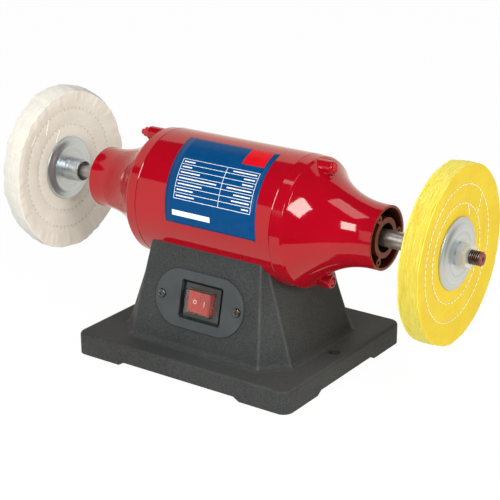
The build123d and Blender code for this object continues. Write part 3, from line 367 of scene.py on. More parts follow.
class Finish:
    """A material in the making: its shader and the place on the piece."""

    def __init__(self, name, **constants):
        self.material = bpy.data.materials.new(name)
        self.material.use_nodes = True
        finishes[name] = self.material
        self.tree = self.material.node_tree
        self.shader = self.tree.nodes["Principled BSDF"]
        self.place = added(self.tree, "ShaderNodeTexCoord", output="Object")
        for label, value in constants.items():
            self.set(label, value)

    def set(self, label, value):
        feed(self.shader.inputs[label.replace("_", " ")], value)

    def surface(self, colour, roughness, height, depth, strength=1.0):
        """Sets the colour, the roughness and a bump of a given depth in metres."""
        self.set("Base_Color", colour)
        self.set("Roughness", roughness)
        inputs = {"Height": height, "Distance": depth, "Strength": strength}
        self.set("Normal", added(self.tree, "ShaderNodeBump", inputs))


def begun(name, group, sizes, **constants):
    """A finish in the making, with the height and the tone of a shared effect."""
    made = Finish(name, **constants)
    node = add_node(made.tree, "ShaderNodeGroup", {"place": made.place, **sizes}, node_tree=groups[group])
    return made, Field(node.outputs["height"]), Field(node.outputs["tone"])


def moulded(name, dark, light, smooth, rough, grain, depth, **constants):
    """Even surface with fine grain, slow tone and uneven gloss."""
    made, height, tone = begun(name, "grain", dict(grain=grain, mottle=60.0), **constants)
    colour = tint(tone * 0.6 + height * 0.4, dark, light)
    made.surface(colour, smooth + (rough - smooth) * height, height, depth)


def red_paint(name, bare_mouth):
    """Glossy enamel; inside a bell it is thin, dull and dark over the rough casting, and painted shade darkens the
    hub's bore.
    """
    made, height, tone = begun(name, "grain", dict(grain=260.0, mottle=14.0), IOR=1.53,
                               Specular_IOR_Level=0.48, Specular_Tint=(1.0, 0.95, 0.86, 1))
    colour = tint(tone, (0.305, 0.0010, 0.008), (0.335, 0.0013, 0.010))
    gloss = 0.05 + tone * 0.03
    if bare_mouth:
        x, radius = about_spindle(made.place)
        reach = abs(x)
        run = larger(flare_level - reach, 0.0)
        outer_r = mouth_r + flare_bend_r - calc("SQRT", flare_bend_r * flare_bend_r - run * run)
        inside = (reach > flare_start) * (radius < outer_r - bell_skin)
        hub = inside * (radius < hub_bore_r)
        face = inside * (reach > mouth_x - bell_skin)
        # The hub's bore gets a near-black colour as painted shade
        brown, bore_shade, rust = (0.190, 0.042, 0.010), (0.035, 0.014, 0.009), (0.26, 0.085, 0.066)
        for area, bare in ((inside, brown), (hub, bore_shade), (face, rust)):
            colour = tint(area, colour, bare)
        gloss = gloss + inside * 0.6
        made.set("Metallic", (inside - face) * 0.7)
    made.surface(colour, gloss, height, 0.02 * mm, 0.12)


def cast_iron(name):
    """Black casting with a grain and pale specks, rubbed smoother along the pedestal's ridges, which also get a
    painted highlight; painted light lightens the deck towards +X.
    """
    made, height, tone = begun(name, "grain", dict(grain=760.0, mottle=25.0), Specular_IOR_Level=0.3)
    x, y, z = split(made.place)
    quarter = vector(abs(x), abs(y), z)
    # Along the ridges the casting is rubbed smoother and flatter, and its colour is lightened there as a painted
    # highlight
    worn = 0.0
    for foot, top in ridges:
        worn = bell_curve(off_line(quarter, Vector(foot) * mm, Vector(top) * mm), 0.0, 1.2 * mm) + worn
    worn = worn * (z > deck_z + 1.0 * mm) * (0.4 + rise(noise(made.place, 120.0, 3.0), 0.25, 0.75) * 0.6)
    on_deck = (z > deck_z - 1.0 * mm) * (z < deck_z + 0.5 * mm)
    # Painted light: the deck's colour grows lighter towards +X
    painted_deck_light = rise(x, -80 * mm, 100 * mm) * on_deck
    fleck = rise(height, 0.34, 0.66)
    speck = rise(noise(made.place, 330.0, 2.0), 0.70, 0.76)
    colour = tint(tone * 0.25 + fleck * 0.75, (0.018, 0.0195, 0.020), (0.042, 0.0455, 0.045))
    # Lightened by the painted ridge highlight, the pale specks and the painted light on the deck
    colour = tint(worn * 0.75 + speck * 0.5 + painted_deck_light * 0.28, colour, (0.075, 0.078, 0.074))
    made.surface(colour, 0.55 + height * 0.2 - worn * 0.12, height * (1 - worn * 0.7), 0.14 * mm)


def zinc_plate(name, metallic, smooth, dark, light, bore_r):
    """Satin plated steel, dull inside its bore, with weak turning marks and a faint yellow passivation."""
    made, height, tone = begun(name, "lathe", dict(marks=2600.0))
    bore = 1 - rise(about_spindle(made.place)[1], bore_r, bore_r + 0.4 * mm)
    made.set("Metallic", metallic - bore * 0.6)
    slow = rise(noise(made.place, 55.0, 2.0), 0.55, 0.75)
    colour = tint(slow * 0.5, tint(tone, dark, light), (0.66, 0.64, 0.54))
    made.surface(colour, smooth + height * 0.08, height, 0.003 * mm, 0.2)


def turned_steel(name):
    """Satin turned steel with weak tool marks."""
    made, height, tone = begun(name, "lathe", dict(marks=5200.0), Metallic=0.9)
    colour = tint(tone, (0.42, 0.40, 0.375), (0.46, 0.44, 0.415))
    made.surface(colour, 0.31 + height * 0.03, height, 0.001 * mm, 0.05)


def browned_thread(name):
    """Oiled dark thread with bright crests."""
    made, height, tone = begun(name, "grain", dict(grain=2500.0, mottle=300.0), Metallic=1.0)
    crest = rise(about_spindle(made.place)[1], seat_r - 0.35 * mm, seat_r)
    colour = tint(crest * (0.35 + tone * 0.5), (0.085, 0.045, 0.032), (0.48, 0.42, 0.38))
    made.surface(colour, 0.30 + height * 0.2, height, 0.02 * mm, 0.5)


def painted_tip(name):
    """Dull red over the spindle's end, with painted shade darkening its drilled centre."""
    made, height, tone = begun(name, "grain", dict(grain=1500.0, mottle=400.0))
    colour = tint(tone, (0.13, 0.014, 0.009), (0.24, 0.035, 0.022))
    # Painted shade: the drilled centre is darkened to near black
    drill_shade = 1 - rise(about_spindle(made.place)[1], drill_r - 0.3 * mm, drill_r + 0.3 * mm)
    made.surface(tint(drill_shade, colour, (0.018, 0.006, 0.005)), 0.32 + height * 0.2, height, 0.05 * mm)


def stacked_sheets(name):
    """Edges of punched sheets, half a millimetre apart along the spindle."""
    made, height, tone = begun(name, "grain", dict(grain=900.0, mottle=120.0), Metallic=1.0)
    edge = sine(split(made.place)[0] * (math.tau / (0.5 * mm))) * 0.5 + 0.5
    colour = tint(edge * 0.6 + tone * 0.4, (0.16, 0.16, 0.17), (0.36, 0.36, 0.37))
    made.surface(colour, 0.42 + height * 0.2, edge, 0.05 * mm)


def wound_wire(name):
    """Varnished copper, with wires of 0.9 mm running round the spindle."""
    made, height, tone = begun(name, "grain", dict(grain=700.0, mottle=90.0), Metallic=1.0)
    x, radius = about_spindle(made.place)
    turn = math.tau / (0.9 * mm)
    wires = sine(x * turn) * sine(radius * turn) * 0.5 + 0.5
    colour = tint(wires * 0.7 + tone * 0.3, (0.26, 0.09, 0.035), (0.72, 0.36, 0.18))
    made.surface(colour, 0.30 + height * 0.2, wires, 0.2 * mm)


def cotton(name, shade, face, streaks, rim):
    """Woven cotton: a slubbed face, and at the rim the plies' frayed edges with streaks between them."""
    made, height, tone = begun(name, "weave", dict(threads=1900.0), Sheen_Weight=0.08,
                               Sheen_Roughness=0.6, Specular_IOR_Level=0.12)
    slow = rise(noise(made.place, 38.0, 2.0), 0.3, 0.7)
    frayed, ply = (added(made.tree, "ShaderNodeAttribute", output="Fac", attribute_name=attribute)
                   for attribute in ("frayed", "ply_tone"))
    x, y, z = split(made.place)
    fluff = noise(vector(x * 1300.0, y * 70.0, z * 70.0), 1.0, 3.0, 0.6)
    edge = rise(frayed + fluff * 0.8, 0.75, 1.25)
    streak = rise(ply, 0.38, 0.60) * 0.6 + rise(fluff, 0.3, 0.7) * 0.4
    colour = tint(edge, tint(tone * 0.5 + slow * 0.5, shade, face), tint(streak, streaks, rim))
    made.surface(colour, 0.86 + height * 0.1, height * (1 - edge) + fluff * edge * 0.5, 0.10 * mm, 0.6)


def clear_plastic(name):
    """Soft clear plastic, a little cloudy."""
    made, height, tone = begun(name, "grain", dict(grain=700.0, mottle=160.0), IOR=1.28,
                               Transmission_Weight=0.98)
    colour = tint(tone, (0.92, 0.89, 0.86), (0.95, 0.93, 0.91))
    made.surface(colour, 0.005 + height * 0.01, height, 0.01 * mm, 0.03)


def printed(name, ink, worn):
    """Printed foil: a thin gloss with faint scuffs."""
    made, height, tone = begun(name, "grain", dict(grain=1800.0, mottle=160.0), Specular_IOR_Level=0.06)
    made.surface(tint(tone * 0.5 + height * 0.3, ink, worn), 0.16 + tone * 0.06, height, 0.004 * mm, 0.1)


cast_iron("black_casting")
red_paint("red_paint", False)
red_paint("red_paint_bells", True)
clear_plastic("clear_plastic")
turned_steel("turned_steel")
browned_thread("browned_thread")
painted_tip("tip_paint")
stacked_sheets("laminations")
wound_wire("copper")
# Dark and light colour, least and most roughness, grains in a metre and their depth
moulded("painted_fasteners", (0.34, 0.004, 0.012), (0.55, 0.012, 0.03), 0.18, 0.42, 900.0, 0.3 * mm)
moulded("slate_plastic", (0.036, 0.042, 0.044), (0.050, 0.057, 0.059), 0.40, 0.54, 2200.0, 0.03 * mm,
        Specular_IOR_Level=0.35)
moulded("black_plastic", (0.024, 0.026, 0.025), (0.046, 0.050, 0.046), 0.34, 0.52, 2000.0, 0.02 * mm)
moulded("red_plastic", (0.40, 0.012, 0.006), (0.48, 0.026, 0.014), 0.26, 0.40, 1800.0, 0.01 * mm,
        Subsurface_Weight=0.15, Subsurface_Scale=0.002)
moulded("black_rubber", (0.012, 0.012, 0.012), (0.026, 0.026, 0.026), 0.60, 0.80, 1400.0, 0.04 * mm)
moulded("insulation", (0.26, 0.035, 0.025), (0.38, 0.06, 0.045), 0.38, 0.52, 1200.0, 0.02 * mm)
moulded("grey_can", (0.52, 0.52, 0.50), (0.64, 0.64, 0.62), 0.36, 0.50, 900.0, 0.02 * mm)
moulded("black_screws", (0.04, 0.042, 0.042), (0.22, 0.23, 0.23), 0.10, 0.30, 900.0, 0.03 * mm, Metallic=1.0)
moulded("cast_aluminium", (0.52, 0.52, 0.53), (0.70, 0.70, 0.71), 0.34, 0.55, 1100.0, 0.05 * mm, Metallic=1.0)
# The dark thread is painted shade: its stitches stand for the shaded holes of the cream wheel's stitching
for thread_name, dark, light in (("white_thread", (0.80, 0.77, 0.68), (0.92, 0.90, 0.84)),
                                 ("stitch_shade_thread", (0.34, 0.29, 0.22), (0.54, 0.48, 0.39)),
                                 ("pale_thread", (0.84, 0.80, 0.72), (0.94, 0.91, 0.85))):
    moulded(thread_name, dark, light, 0.7, 0.9, 4000.0, 0.05 * mm, Sheen_Weight=0.3)
# Metallic share, least roughness, dark and light colour, radius of the dull bore
zinc_plate("zinc", 0.9, 0.28, (0.52, 0.56, 0.585), (0.59, 0.635, 0.66), collar_bore_r)
zinc_plate("dull_zinc", 0.9, 0.37, (0.56, 0.605, 0.63), (0.64, 0.685, 0.71), collar_bore_r)
zinc_plate("nut_plating", 0.68, 0.30, (0.64, 0.65, 0.64), (0.74, 0.75, 0.74), seat_r)
# Shaded and lit face, streaks and threads of the rim
cotton("yellow_cotton", (0.63, 0.435, 0.012), (0.69, 0.51, 0.020), (0.82, 0.68, 0.068), (0.86, 0.80, 0.19))
cotton("cream_cotton", (0.685, 0.63, 0.525), (0.78, 0.725, 0.62), (0.73, 0.70, 0.62), (0.80, 0.785, 0.725))
# Ink, fresh and worn
printed("label_navy", (0.001, 0.046, 0.148), (0.003, 0.056, 0.17))
printed("label_red", (0.54, 0.003, 0.009), (0.60, 0.006, 0.013))
printed("label_white", (0.80, 0.84, 0.88), (0.90, 0.92, 0.94))
printed("mark_ink", (0.72, 0.62, 0.55), (0.84, 0.76, 0.70))


def dress_frame():
    """Gives each CAD node the finish of its slot; the bells and the nuts have their own."""
    chosen = {subpart["node"]: subpart["material_slot"] for subpart in frame["record"]["subparts"]}
    for end in ("left", "right"):
        chosen[end + "_end_bell"] = "red_paint_bells"
        chosen[end + "_nut"] = "nut_plating"
    for node, finish in chosen.items():
        for slot in nodes[node].material_slots:
            slot.material = finishes[finish]


# Pieces from geometry nodes
def link(name, data):
    """A new object in the scene."""
    piece = bpy.data.objects.new(name, data)
    bpy.context.collection.objects.link(piece)
    return piece


def mesh_of(name, work):
    """A mesh from a bmesh, which is freed."""
    mesh = bpy.data.meshes.new(name)
    work.to_mesh(mesh)
    work.free()
    return mesh


def grown(name, tree, start=None, **inputs):
    """A plain mesh piece from a geometry tree, run on a starting mesh or on none."""
    start = start or bpy.data.meshes.new(name + "_start")
    piece = link(name, start)
    modifier = piece.modifiers.new("shape", "NODES")
    modifier.node_group = tree
    for item in tree.interface.items_tree:
        if item.in_out == "INPUT" and item.name in inputs:
            modifier[item.identifier] = inputs[item.name]
    graph = bpy.context.evaluated_depsgraph_get()
    mesh = bpy.data.meshes.new_from_object(piece.evaluated_get(graph), depsgraph=graph)
    piece.modifiers.clear()
    piece.data = mesh
    bpy.data.meshes.remove(start)
    work = bmesh.new()
    work.from_mesh(mesh)
    bmesh.ops.recalc_face_normals(work, faces=work.faces)
    work.to_mesh(mesh)
    work.free()
    return piece


def profile_mesh(name, points):
    """Loose points (x, radius) that a tree spins round the spindle."""
    mesh = bpy.data.meshes.new(name)
    mesh.from_pydata([(x, radius, 0) for x, radius in points], [], [])
    return mesh


def shape_tree(name, **inputs):
    return new_tree("GeometryNodeTree", name, {"Geometry": "shape"}, **inputs)


def finished(out, shape):
    """Feeds a tree's shape to its output and gives the tree."""
    feed(out.inputs["shape"], shape)
    return out.id_data


def meshed(tree, kind, inputs=None, output=0, **settings):
    """One output of a new geometry node."""
    return added(tree, "GeometryNode" + kind, inputs, output, **settings)


def position(tree):
    return split(meshed(tree, "InputPosition"))


def moved(mesh, place):
    return meshed(mesh.tree, "SetPosition", {"Geometry": mesh, "Position": place})


def smoothed(mesh):
    return meshed(mesh.tree, "SetShadeSmooth", {"Geometry": mesh})


def coated(mesh, finish):
    return meshed(mesh.tree, "SetMaterial", {"Geometry": mesh, "Material": finish})


def stored(mesh, name, value, domain):
    inputs = {"Geometry": mesh, "Name": name, "Value": value}
    return meshed(mesh.tree, "StoreNamedAttribute", inputs, data_type="FLOAT", domain=domain)


def random_number(low, high, seed):
    inputs = {2: low, 3: high, "Seed": seed}
    return added(seed.tree, "FunctionNodeRandomValue", inputs, 1, data_type="FLOAT")


def shape_of(piece):
    return meshed(piece.tree, "ObjectInfo", {"Object": piece}, "Geometry", transform_space="RELATIVE")


def copies(points, shape, along, axis, size):
    """A copy of a shape at each point, with an axis of it laid along a direction."""
    tree = points.tree
    turn = added(tree, "FunctionNodeAlignRotationToVector", {"Vector": along}, axis=axis)
    inputs = {"Points": points, "Instance": shape, "Rotation": turn, "Scale": size}
    return meshed(tree, "RealizeInstances", {"Geometry": meshed(tree, "InstanceOnPoints", inputs)})


def unit_grid(rows, columns):
    inputs = {"Size X": 1.0, "Size Y": 1.0, "Vertices X": rows, "Vertices Y": columns}
    return meshed(columns.tree, "MeshGrid", inputs, "Mesh")


def spun_grid(profile, segments):
    """A grid with one row for each profile point and one column for each step round the spindle.

    Its positions hold x, radius and angle. The last column falls on the first.
    """
    tree = profile.tree
    rows = meshed(tree, "AttributeDomainSize", {"Geometry": profile}, "Point Count", component="MESH")
    grid = unit_grid(rows, segments + 1)
    u, v, _ = position(tree)
    row = calc("ROUND", (u + 0.5) * (rows - 1))
    inputs = {"Geometry": profile, "Index": row, "Value": meshed(tree, "InputPosition")}
    x, radius, _ = split(meshed(tree, "SampleIndex", inputs, data_type="FLOAT_VECTOR", domain="POINT"))
    return moved(grid, vector(x, radius, (v + 0.5) * math.tau))


def closed_up(mesh):
    """Joins a spun grid's seam and poles and smooths its shading."""
    return smoothed(meshed(mesh.tree, "MergeByDistance", {"Geometry": mesh, "Distance": 0.004 * mm}))


def turned_bar_tree():
    """A bar spun from its profile, with a screw thread cut into each end, left hand on the left."""
    tree, field, out = shape_tree(
        "turned_bar", Geometry="profile", Int="segments", Float="thread_start thread_end pitch depth",
        Material="steel thread tip")
    grid = spun_grid(field.profile, field.segments)
    x, radius, angle = position(tree)
    reach = abs(x)
    turns = reach / field.pitch - angle / math.tau
    groove = rise(calc("PINGPONG", turns, 0.5), 0.06, 0.40)
    cut = rise(reach, field.thread_start, field.thread_start + field.pitch)
    cut = cut * (1 - rise(reach, field.thread_end - field.pitch * 0.5, field.thread_end))
    on_seat = radius > seat_r - 0.6 * mm
    turned_r = radius - groove * cut * on_seat * field.depth
    bar = closed_up(moved(grid, round_spindle(x, turned_r, angle)))
    reach = abs(position(tree)[0])
    for finish, start in ((field.steel, -1.0), (field.thread, field.thread_start),
                          (field.tip, field.thread_end)):
        inputs = {"Geometry": bar, "Selection": reach > start, "Material": finish}
        bar = meshed(tree, "SetMaterial", inputs)
    return finished(out, bar)


def turned_ring_tree():
    """A ring spun from its closed profile."""
    tree, field, out = shape_tree("turned_ring", Geometry="profile", Int="segments", Material="finish")
    grid = spun_grid(field.profile, field.segments)
    ring = closed_up(moved(grid, round_spindle(*position(tree))))
    return finished(out, coated(ring, field.finish))


def paint_lump_tree():
    """A ragged lump of paint over a bolt's head."""
    tree, field, out = shape_tree(
        "paint_lump", Geometry="start", Vector="centre size", Float="ragged seed", Material="finish")
    ball = meshed(tree, "MeshIcoSphere", {"Radius": 1.0, "Subdivisions": 5}, "Mesh")
    x, y, z = position(tree)
    swell = 1 + swing(field.ragged, vector(x + field.seed, y, z), 2.3, 4.0, 0.6)
    sides = zip(split(field.centre), (x, y, z), split(field.size))
    place = vector(*(centre + along * size * swell for centre, along, size in sides))
    lump = smoothed(moved(ball, place))
    return finished(out, coated(lump, field.finish))


def sewn_wheel_tree():
    """A stack of sewn cloth discs: a body spun from its profile, ply rings between its lips, and ripples."""
    tree, field, out = shape_tree(
        "sewn_wheel", Geometry="profile", Int="segments plies", Vector="runout slip lean",
        Float="rim groove stack ply ripple ripples crease fray lobe lobes crown pinch pillow "
              "row_1 row_2 stitches_1 stitches_2 middle seed",
        Material="cloth")
    body = spun_grid(field.profile, field.segments)

    # Each ply is a strip that runs from the groove out to the rim and back
    section_points = 9
    ring = unit_grid(section_points, field.segments + 1)
    ring = meshed(tree, "GeometryToInstance", {0: ring})
    rings = add_node(tree, "GeometryNodeDuplicateElements", {"Geometry": ring, "Amount": field.plies},
                     domain="INSTANCE")
    share = (Field(rings.outputs["Duplicate Index"]) + 0.5) / field.plies
    rings = stored(Field(rings.outputs[0]), "stack_place", share, "INSTANCE")
    rings = meshed(tree, "RealizeInstances", {"Geometry": rings})
    share = meshed(tree, "InputNamedAttribute", {"Name": "stack_place"}, data_type="FLOAT")
    u, v, _ = position(tree)
    out_and_back = 1 - abs(u) * 2
    side = calc("SIGN", u) * calc("SQRT", larger(1 - out_and_back ** 6, 0.0))
    side = side * rise(out_and_back, 0.0, 0.2)
    x = (share - 0.5) * field.stack + side * field.ply * 0.5
    radius = field.groove + (field.rim - field.groove) * out_and_back
    rings = moved(rings, vector(x, radius, (v + 0.5) * math.tau))
    joined = add_node(tree, "GeometryNodeJoinGeometry")
    for mesh in (body, rings):
        tree.links.new(mesh.socket, joined.inputs[0])

    # Ripples, creases, torn edges and quilting follow from the place in the stack
    x, radius, angle = position(tree)
    flat_y = -cosine(angle)
    flat_z = sine(angle)
    stack = x / field.stack

    def around(turns, depth):
        return vector(flat_y * turns + field.seed, flat_z * turns, depth)

    loose = rise(radius, field.row_1 + 1.0 * mm, field.rim - 4.0 * mm)
    wave = swing(field.ripple, around(field.ripples, stack * 0.8), 1.0, 1.0)
    fold = swing(field.crease, around(9.0, radius * 12.0 + stack * 0.3), 1.0, 2.0)
    ply_number = calc("FLOOR", (stack + 0.5) * field.plies * 1.001)
    torn_place = vector(flat_y * 7.0 + ply_number * 3.7, flat_z * 7.0 + field.seed, ply_number * 1.3)
    torn = swing(field.fray, torn_place, 1.0, 3.0, 0.6)
    lobe = swing(field.lobe, around(field.lobes, stack * 0.2), 1.0, 2.0)
    pillow = 0.0
    for inner, outer, full in ((field.row_2, field.row_1, 0.7), (field.row_1, field.rim, 1.0),
                               (flange_r, field.row_2, 0.4)):
        pillow = sine(rise(radius, inner, outer) * math.pi) * full + pillow
    pinch = 0.0
    for row, stitches in ((field.row_1, field.stitches_1), (field.row_2, field.stitches_2)):
        pulled = 0.65 + cosine(angle * stitches) * 0.35
        pinch = bell_curve(radius, row, 1.5 * mm) * pulled + pinch
    quilt = calc("SIGN", x) * (pillow * field.pillow - pinch * field.pinch)
    _, lean_y, lean_z = split(field.lean)
    tilt = (lean_y * flat_y + lean_z * flat_z) * radius * rise(radius, flange_r, field.row_1)
    crown = stack * stack * 4 * field.crown
    ragged_r = radius + (torn + lobe - crown) * rise(radius, field.groove, field.rim)
    _, out_y, out_z = split(field.runout)
    _, slip_y, slip_z = split(field.slip)
    off_centre = rise(radius, field.row_1, field.rim)
    place = vector(field.middle + x + (wave + fold) * loose + quilt + tilt,
                   ragged_r * flat_y + (out_y + slip_y * stack) * off_centre,
                   ragged_r * flat_z + (out_z + slip_z * stack) * off_centre + spindle_z)

    tone = noise(around(3.0, stack * 15.0), 1.0, 4.0, 0.7)
    wheel = stored(Field(joined.outputs[0]), "ply_tone", tone, "POINT")
    frayed = rise(radius, field.rim - 1.6 * mm, field.rim - 0.3 * mm)
    # Painted shade: the lips, which catch more light, get only half of the pale rim colour
    lip_shade_mask = rise(abs(x), field.stack * 0.5 - 0.1 * mm, field.stack * 0.5 + 0.3 * mm)
    wheel = stored(wheel, "frayed", frayed * (1 - lip_shade_mask * 0.5), "POINT")
    wheel = closed_up(moved(wheel, place))
    return finished(out, coated(wheel, field.cloth))


def stitch_tree():
    """A run of stitches pressed into one face of a wheel, between two radii and two angles."""
    tree, field, out = shape_tree(
        "stitch_run", Geometry="start", Object="wheel", Int="count seed",
        Float="middle side from_radius to_radius from_angle to_angle length thickness sink",
        Material="thread")
    share = (meshed(tree, "InputIndex") + 0.5) / field.count
    turn = field.to_angle - field.from_angle
    spread = field.to_radius - field.from_radius
    angle = field.from_angle + turn * share
    radius = field.from_radius + spread * share
    inputs = {"Target Geometry": shape_of(field.wheel),
              "Source Position": round_spindle(field.middle + field.side * 0.05, radius, angle),
              "Ray Direction": vector(-field.side, 0.0, 0.0), "Ray Length": 0.1}
    x, y, z = split(meshed(tree, "Raycast", inputs, "Hit Position"))
    sunk = vector(x + field.side * field.sink, y, z)
    points = meshed(tree, "Points", {"Count": field.count, "Position": sunk})
    bead = meshed(tree, "MeshUVSphere", {"Segments": 6, "Rings": 5, "Radius": 0.5}, "Mesh")
    along = vector(0.0, sine(angle) * radius * turn - cosine(angle) * spread,
                   cosine(angle) * radius * turn + sine(angle) * spread)
    length = field.length * random_number(0.82, 1.0, field.seed)
    size = vector(length, field.thickness, field.thickness)
    stitches = smoothed(copies(points, bead, along, "X", size))
    return finished(out, coated(stitches, field.thread))


def fibre_tree():
    """Short loose fibres standing out of a wheel's rim."""
    tree, field, out = shape_tree(
        "loose_fibres", Geometry="start", Object="wheel", Int="seed",
        Float="rim density length thickness", Material="cloth")
    _, y, z = position(tree)
    inputs = {"Mesh": shape_of(field.wheel), "Selection": length_of(y, z - spindle_z) > field.rim,
              "Density": field.density, "Seed": field.seed}
    points = meshed(tree, "DistributePointsOnFaces", inputs)
    inputs = {"Vertices": 3, "Radius Top": 0.25, "Radius Bottom": 1.0, "Depth": 1.0}
    strand = meshed(tree, "MeshCone", inputs, "Mesh")
    inputs = {0: (-0.09, -0.05, -0.05), 1: (0.09, 0.05, 0.05), "Seed": field.seed}
    astray = added(tree, "FunctionNodeRandomValue", inputs, data_type="FLOAT_VECTOR")
    stray_x, stray_y, stray_z = split(astray)
    along = vector(stray_x, y + stray_y, z - spindle_z + stray_z)
    length = field.length * random_number(0.3, 1.0, field.seed)
    size = vector(field.thickness, field.thickness, length)
    fibres = copies(points, strand, along, "Z", size)
    return finished(out, coated(fibres, field.cloth))


# Spindle
def spindle_bar():
    """The stepped shaft with its two screw threads."""
    half = [(journal_reach, journal_r), (journal_reach, seat_r), (thread_start, seat_r)]
    steps_a_turn = 8
    steps = int((thread_end - thread_start) / thread_pitch * steps_a_turn)
    for step in range(1, steps + 1):
        half.append((thread_start + step * thread_pitch / steps_a_turn, seat_r))
    half += [(thread_end, seat_r), (spindle_reach, seat_r - tip_chamfer)]
    half += [(spindle_reach, drill_r), (spindle_reach - drill_depth, 0)]
    points = [(-x, radius) for x, radius in reversed(half)] + half
    bar = grown("spindle_bar", turned_bar_tree(), profile_mesh("spindle_profile", points), segments=96,
                thread_start=thread_start, thread_end=thread_end, pitch=thread_pitch, depth=thread_depth,
                steel=finishes["turned_steel"], thread=finishes["browned_thread"], tip=finishes["tip_paint"])
    bar.data.set_sharp_from_angle(angle=math.radians(35))
    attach(bar, "spindle")
    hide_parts("spindle")


# Washers
def softened(corners):
    """A closed section whose corners (x, radius, softness) are rounded."""
    points = []
    steps = 5
    for before, (x, radius, soft), after in zip(corners[-1:] + corners, corners, corners[1:] + corners[:1]):
        here = Vector((x, radius))
        ends = []
        for other in (before, after):
            edge = Vector(other[:2]) - here
            ends.append(here + edge.normalized() * min(soft, 0.48 * edge.length))
        for step in range(steps + 1):
            share = step / steps
            first = ends[0].lerp(here, share)
            points.append(tuple(first.lerp(here.lerp(ends[1], share), share)))
    return points + points[:1]


def flange_corners(outwards, with_collar):
    """Corners of a washer's section from the wheel's face at x 0; it dishes outwards."""
    dish = outwards * flange_dish
    sheet = outwards * flange_sheet
    rim_r = flange_r - flange_rim
    corners = [(dish, flange_bore_r, 0.2 * mm), (dish, flange_crown_r, 1.6 * mm), (0, rim_r, 1.6 * mm),
               (0, flange_r, 0.5 * mm), (sheet, flange_r, 0.8 * mm), (sheet, rim_r, 2.2 * mm),
               (dish + sheet, flange_crown_r, 2.6 * mm)]
    if not with_collar:
        return corners + [(dish + sheet, flange_bore_r, 0.2 * mm)]
    root = dish + sheet + outwards * collar_root_length
    end = outwards * collar_length
    step = end - outwards * collar_bore_depth
    return corners + [(dish + sheet, collar_root_r, 0.6 * mm), (root, collar_root_r, 0.6 * mm),
                      (root, collar_r, 0.3 * mm), (end, collar_r, 0.5 * mm), (end, collar_bore_r, 0.3 * mm),
                      (step, collar_bore_r, 0.3 * mm), (step, flange_bore_r, 0.2 * mm)]


def flanges():
    """The four pressed washers, smooth round their edges."""
    ring_tree = turned_ring_tree()
    for side, side_name, plating in ((-1, "left", "zinc"), (1, "right", "dull_zinc")):
        for outwards, place_name in ((-1, "inner"), (1, "outer")):
            node = f"{side_name}_{place_name}_flange"
            face = wheel_middle + outwards * hub_half
            corners = flange_corners(outwards, outwards < 0)
            section = [(side * (face + x), radius) for x, radius in softened(corners)]
            ring = grown(node + "_turned", ring_tree, profile_mesh(node + "_profile", section),
                         segments=128, finish=finishes[plating])
            ring.data.set_sharp_from_angle(angle=math.radians(40))
            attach(ring, "spindle")
            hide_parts(node)


# Lugs
def bolt_lumps():
    """Paint that has filled the pockets of the tie bolts' heads."""
    lump_tree = paint_lump_tree()
    for side, name, sunk, spread in ((-1, "lower", 2.2 * mm, 3.5 * mm), (1, "upper", 0.9 * mm, 4.0 * mm)):
        lump = grown(f"{name}_bolt_lump", lump_tree, ragged=0.5, seed=5.0 + side,
                     centre=(lug_face - sunk, 0, spindle_z + side * lug_circle_r),
                     size=(2.8 * mm, spread, spread), finish=finishes["painted_fasteners"])
        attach(lump, "machine")


# Switch
def mark_strips():
    """Outlines (inner and outer edge points) of a ring and a bar on the rocker, in panel coordinates."""
    steps = 32
    ring = []
    for step in range(steps + 1):
        turn = math.tau * step / steps
        ring.append([(radius * math.cos(turn) - mark_offset, radius * math.sin(turn))
                     for radius in mark_ring])
    bar = [[(mark_offset + across, up) for across in mark_bar] for up in mark_bar_levels]
    return ring, bar


def rocker_marks():
    """Raised on and off marks that lie on the rocker's face."""
    rocker = nodes["rocker"]
    surface = BVHTree.FromPolygons([rocker.matrix_world @ vertex.co for vertex in rocker.data.vertices],
                                   [tuple(face.vertices) for face in rocker.data.polygons])
    work = bmesh.new()
    for strip in mark_strips():
        loops = []
        for edges in strip:
            row = []
            for across, up in edges:
                start = panel_middle + Vector((across, 0, 0)) + panel_up * up + panel_out * 0.03
                hit = surface.ray_cast(start, -panel_out)[0]
                row.append([work.verts.new(hit + panel_out * lift) for lift in mark_lifts])
            inner, outer = row
            loops.append((inner[0], inner[1], outer[1], outer[0]))
        for loop, next_loop in zip(loops, loops[1:]):
            for first, second in zip(range(4), (1, 2, 3, 0)):
                work.faces.new((loop[first], loop[second], next_loop[second], next_loop[first]))
        for loop in (loops[0], loops[-1]):
            work.faces.new(loop)
    bmesh.ops.remove_doubles(work, verts=work.verts, dist=0.001 * mm)
    bmesh.ops.recalc_face_normals(work, faces=work.faces)
    mesh = mesh_of("rocker_marks", work)
    mesh.materials.append(finishes["mark_ink"])
    marks = link("rocker_marks", mesh)
    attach(marks, "rocker")


# Cloth wheels
def wheel_profile(rim_r, rim_half):
    """Closed section of the outer plies: hub, two faces and two lips with a groove between them."""
    face_steps = 46
    right = [(hub_half, wheel_bore_r)]
    for step in range(face_steps + 1):
        share = step / face_steps
        radius = flange_r - 2 * mm + share * (rim_r - flange_r + 2 * mm)
        spread = share * share * (3 - 2 * share)
        right.append((hub_half + spread * (rim_half - hub_half), radius))
    right += [(rim_half - 0.2 * lip, rim_r + 0.25 * lip), (rim_half - 0.8 * lip, rim_r + 0.25 * lip)]
    right += [(rim_half - lip, rim_r), (rim_half - lip, rim_r - groove_depth)]
    left = [(-x, radius) for x, radius in reversed(right)]
    return right + left + [right[0]]


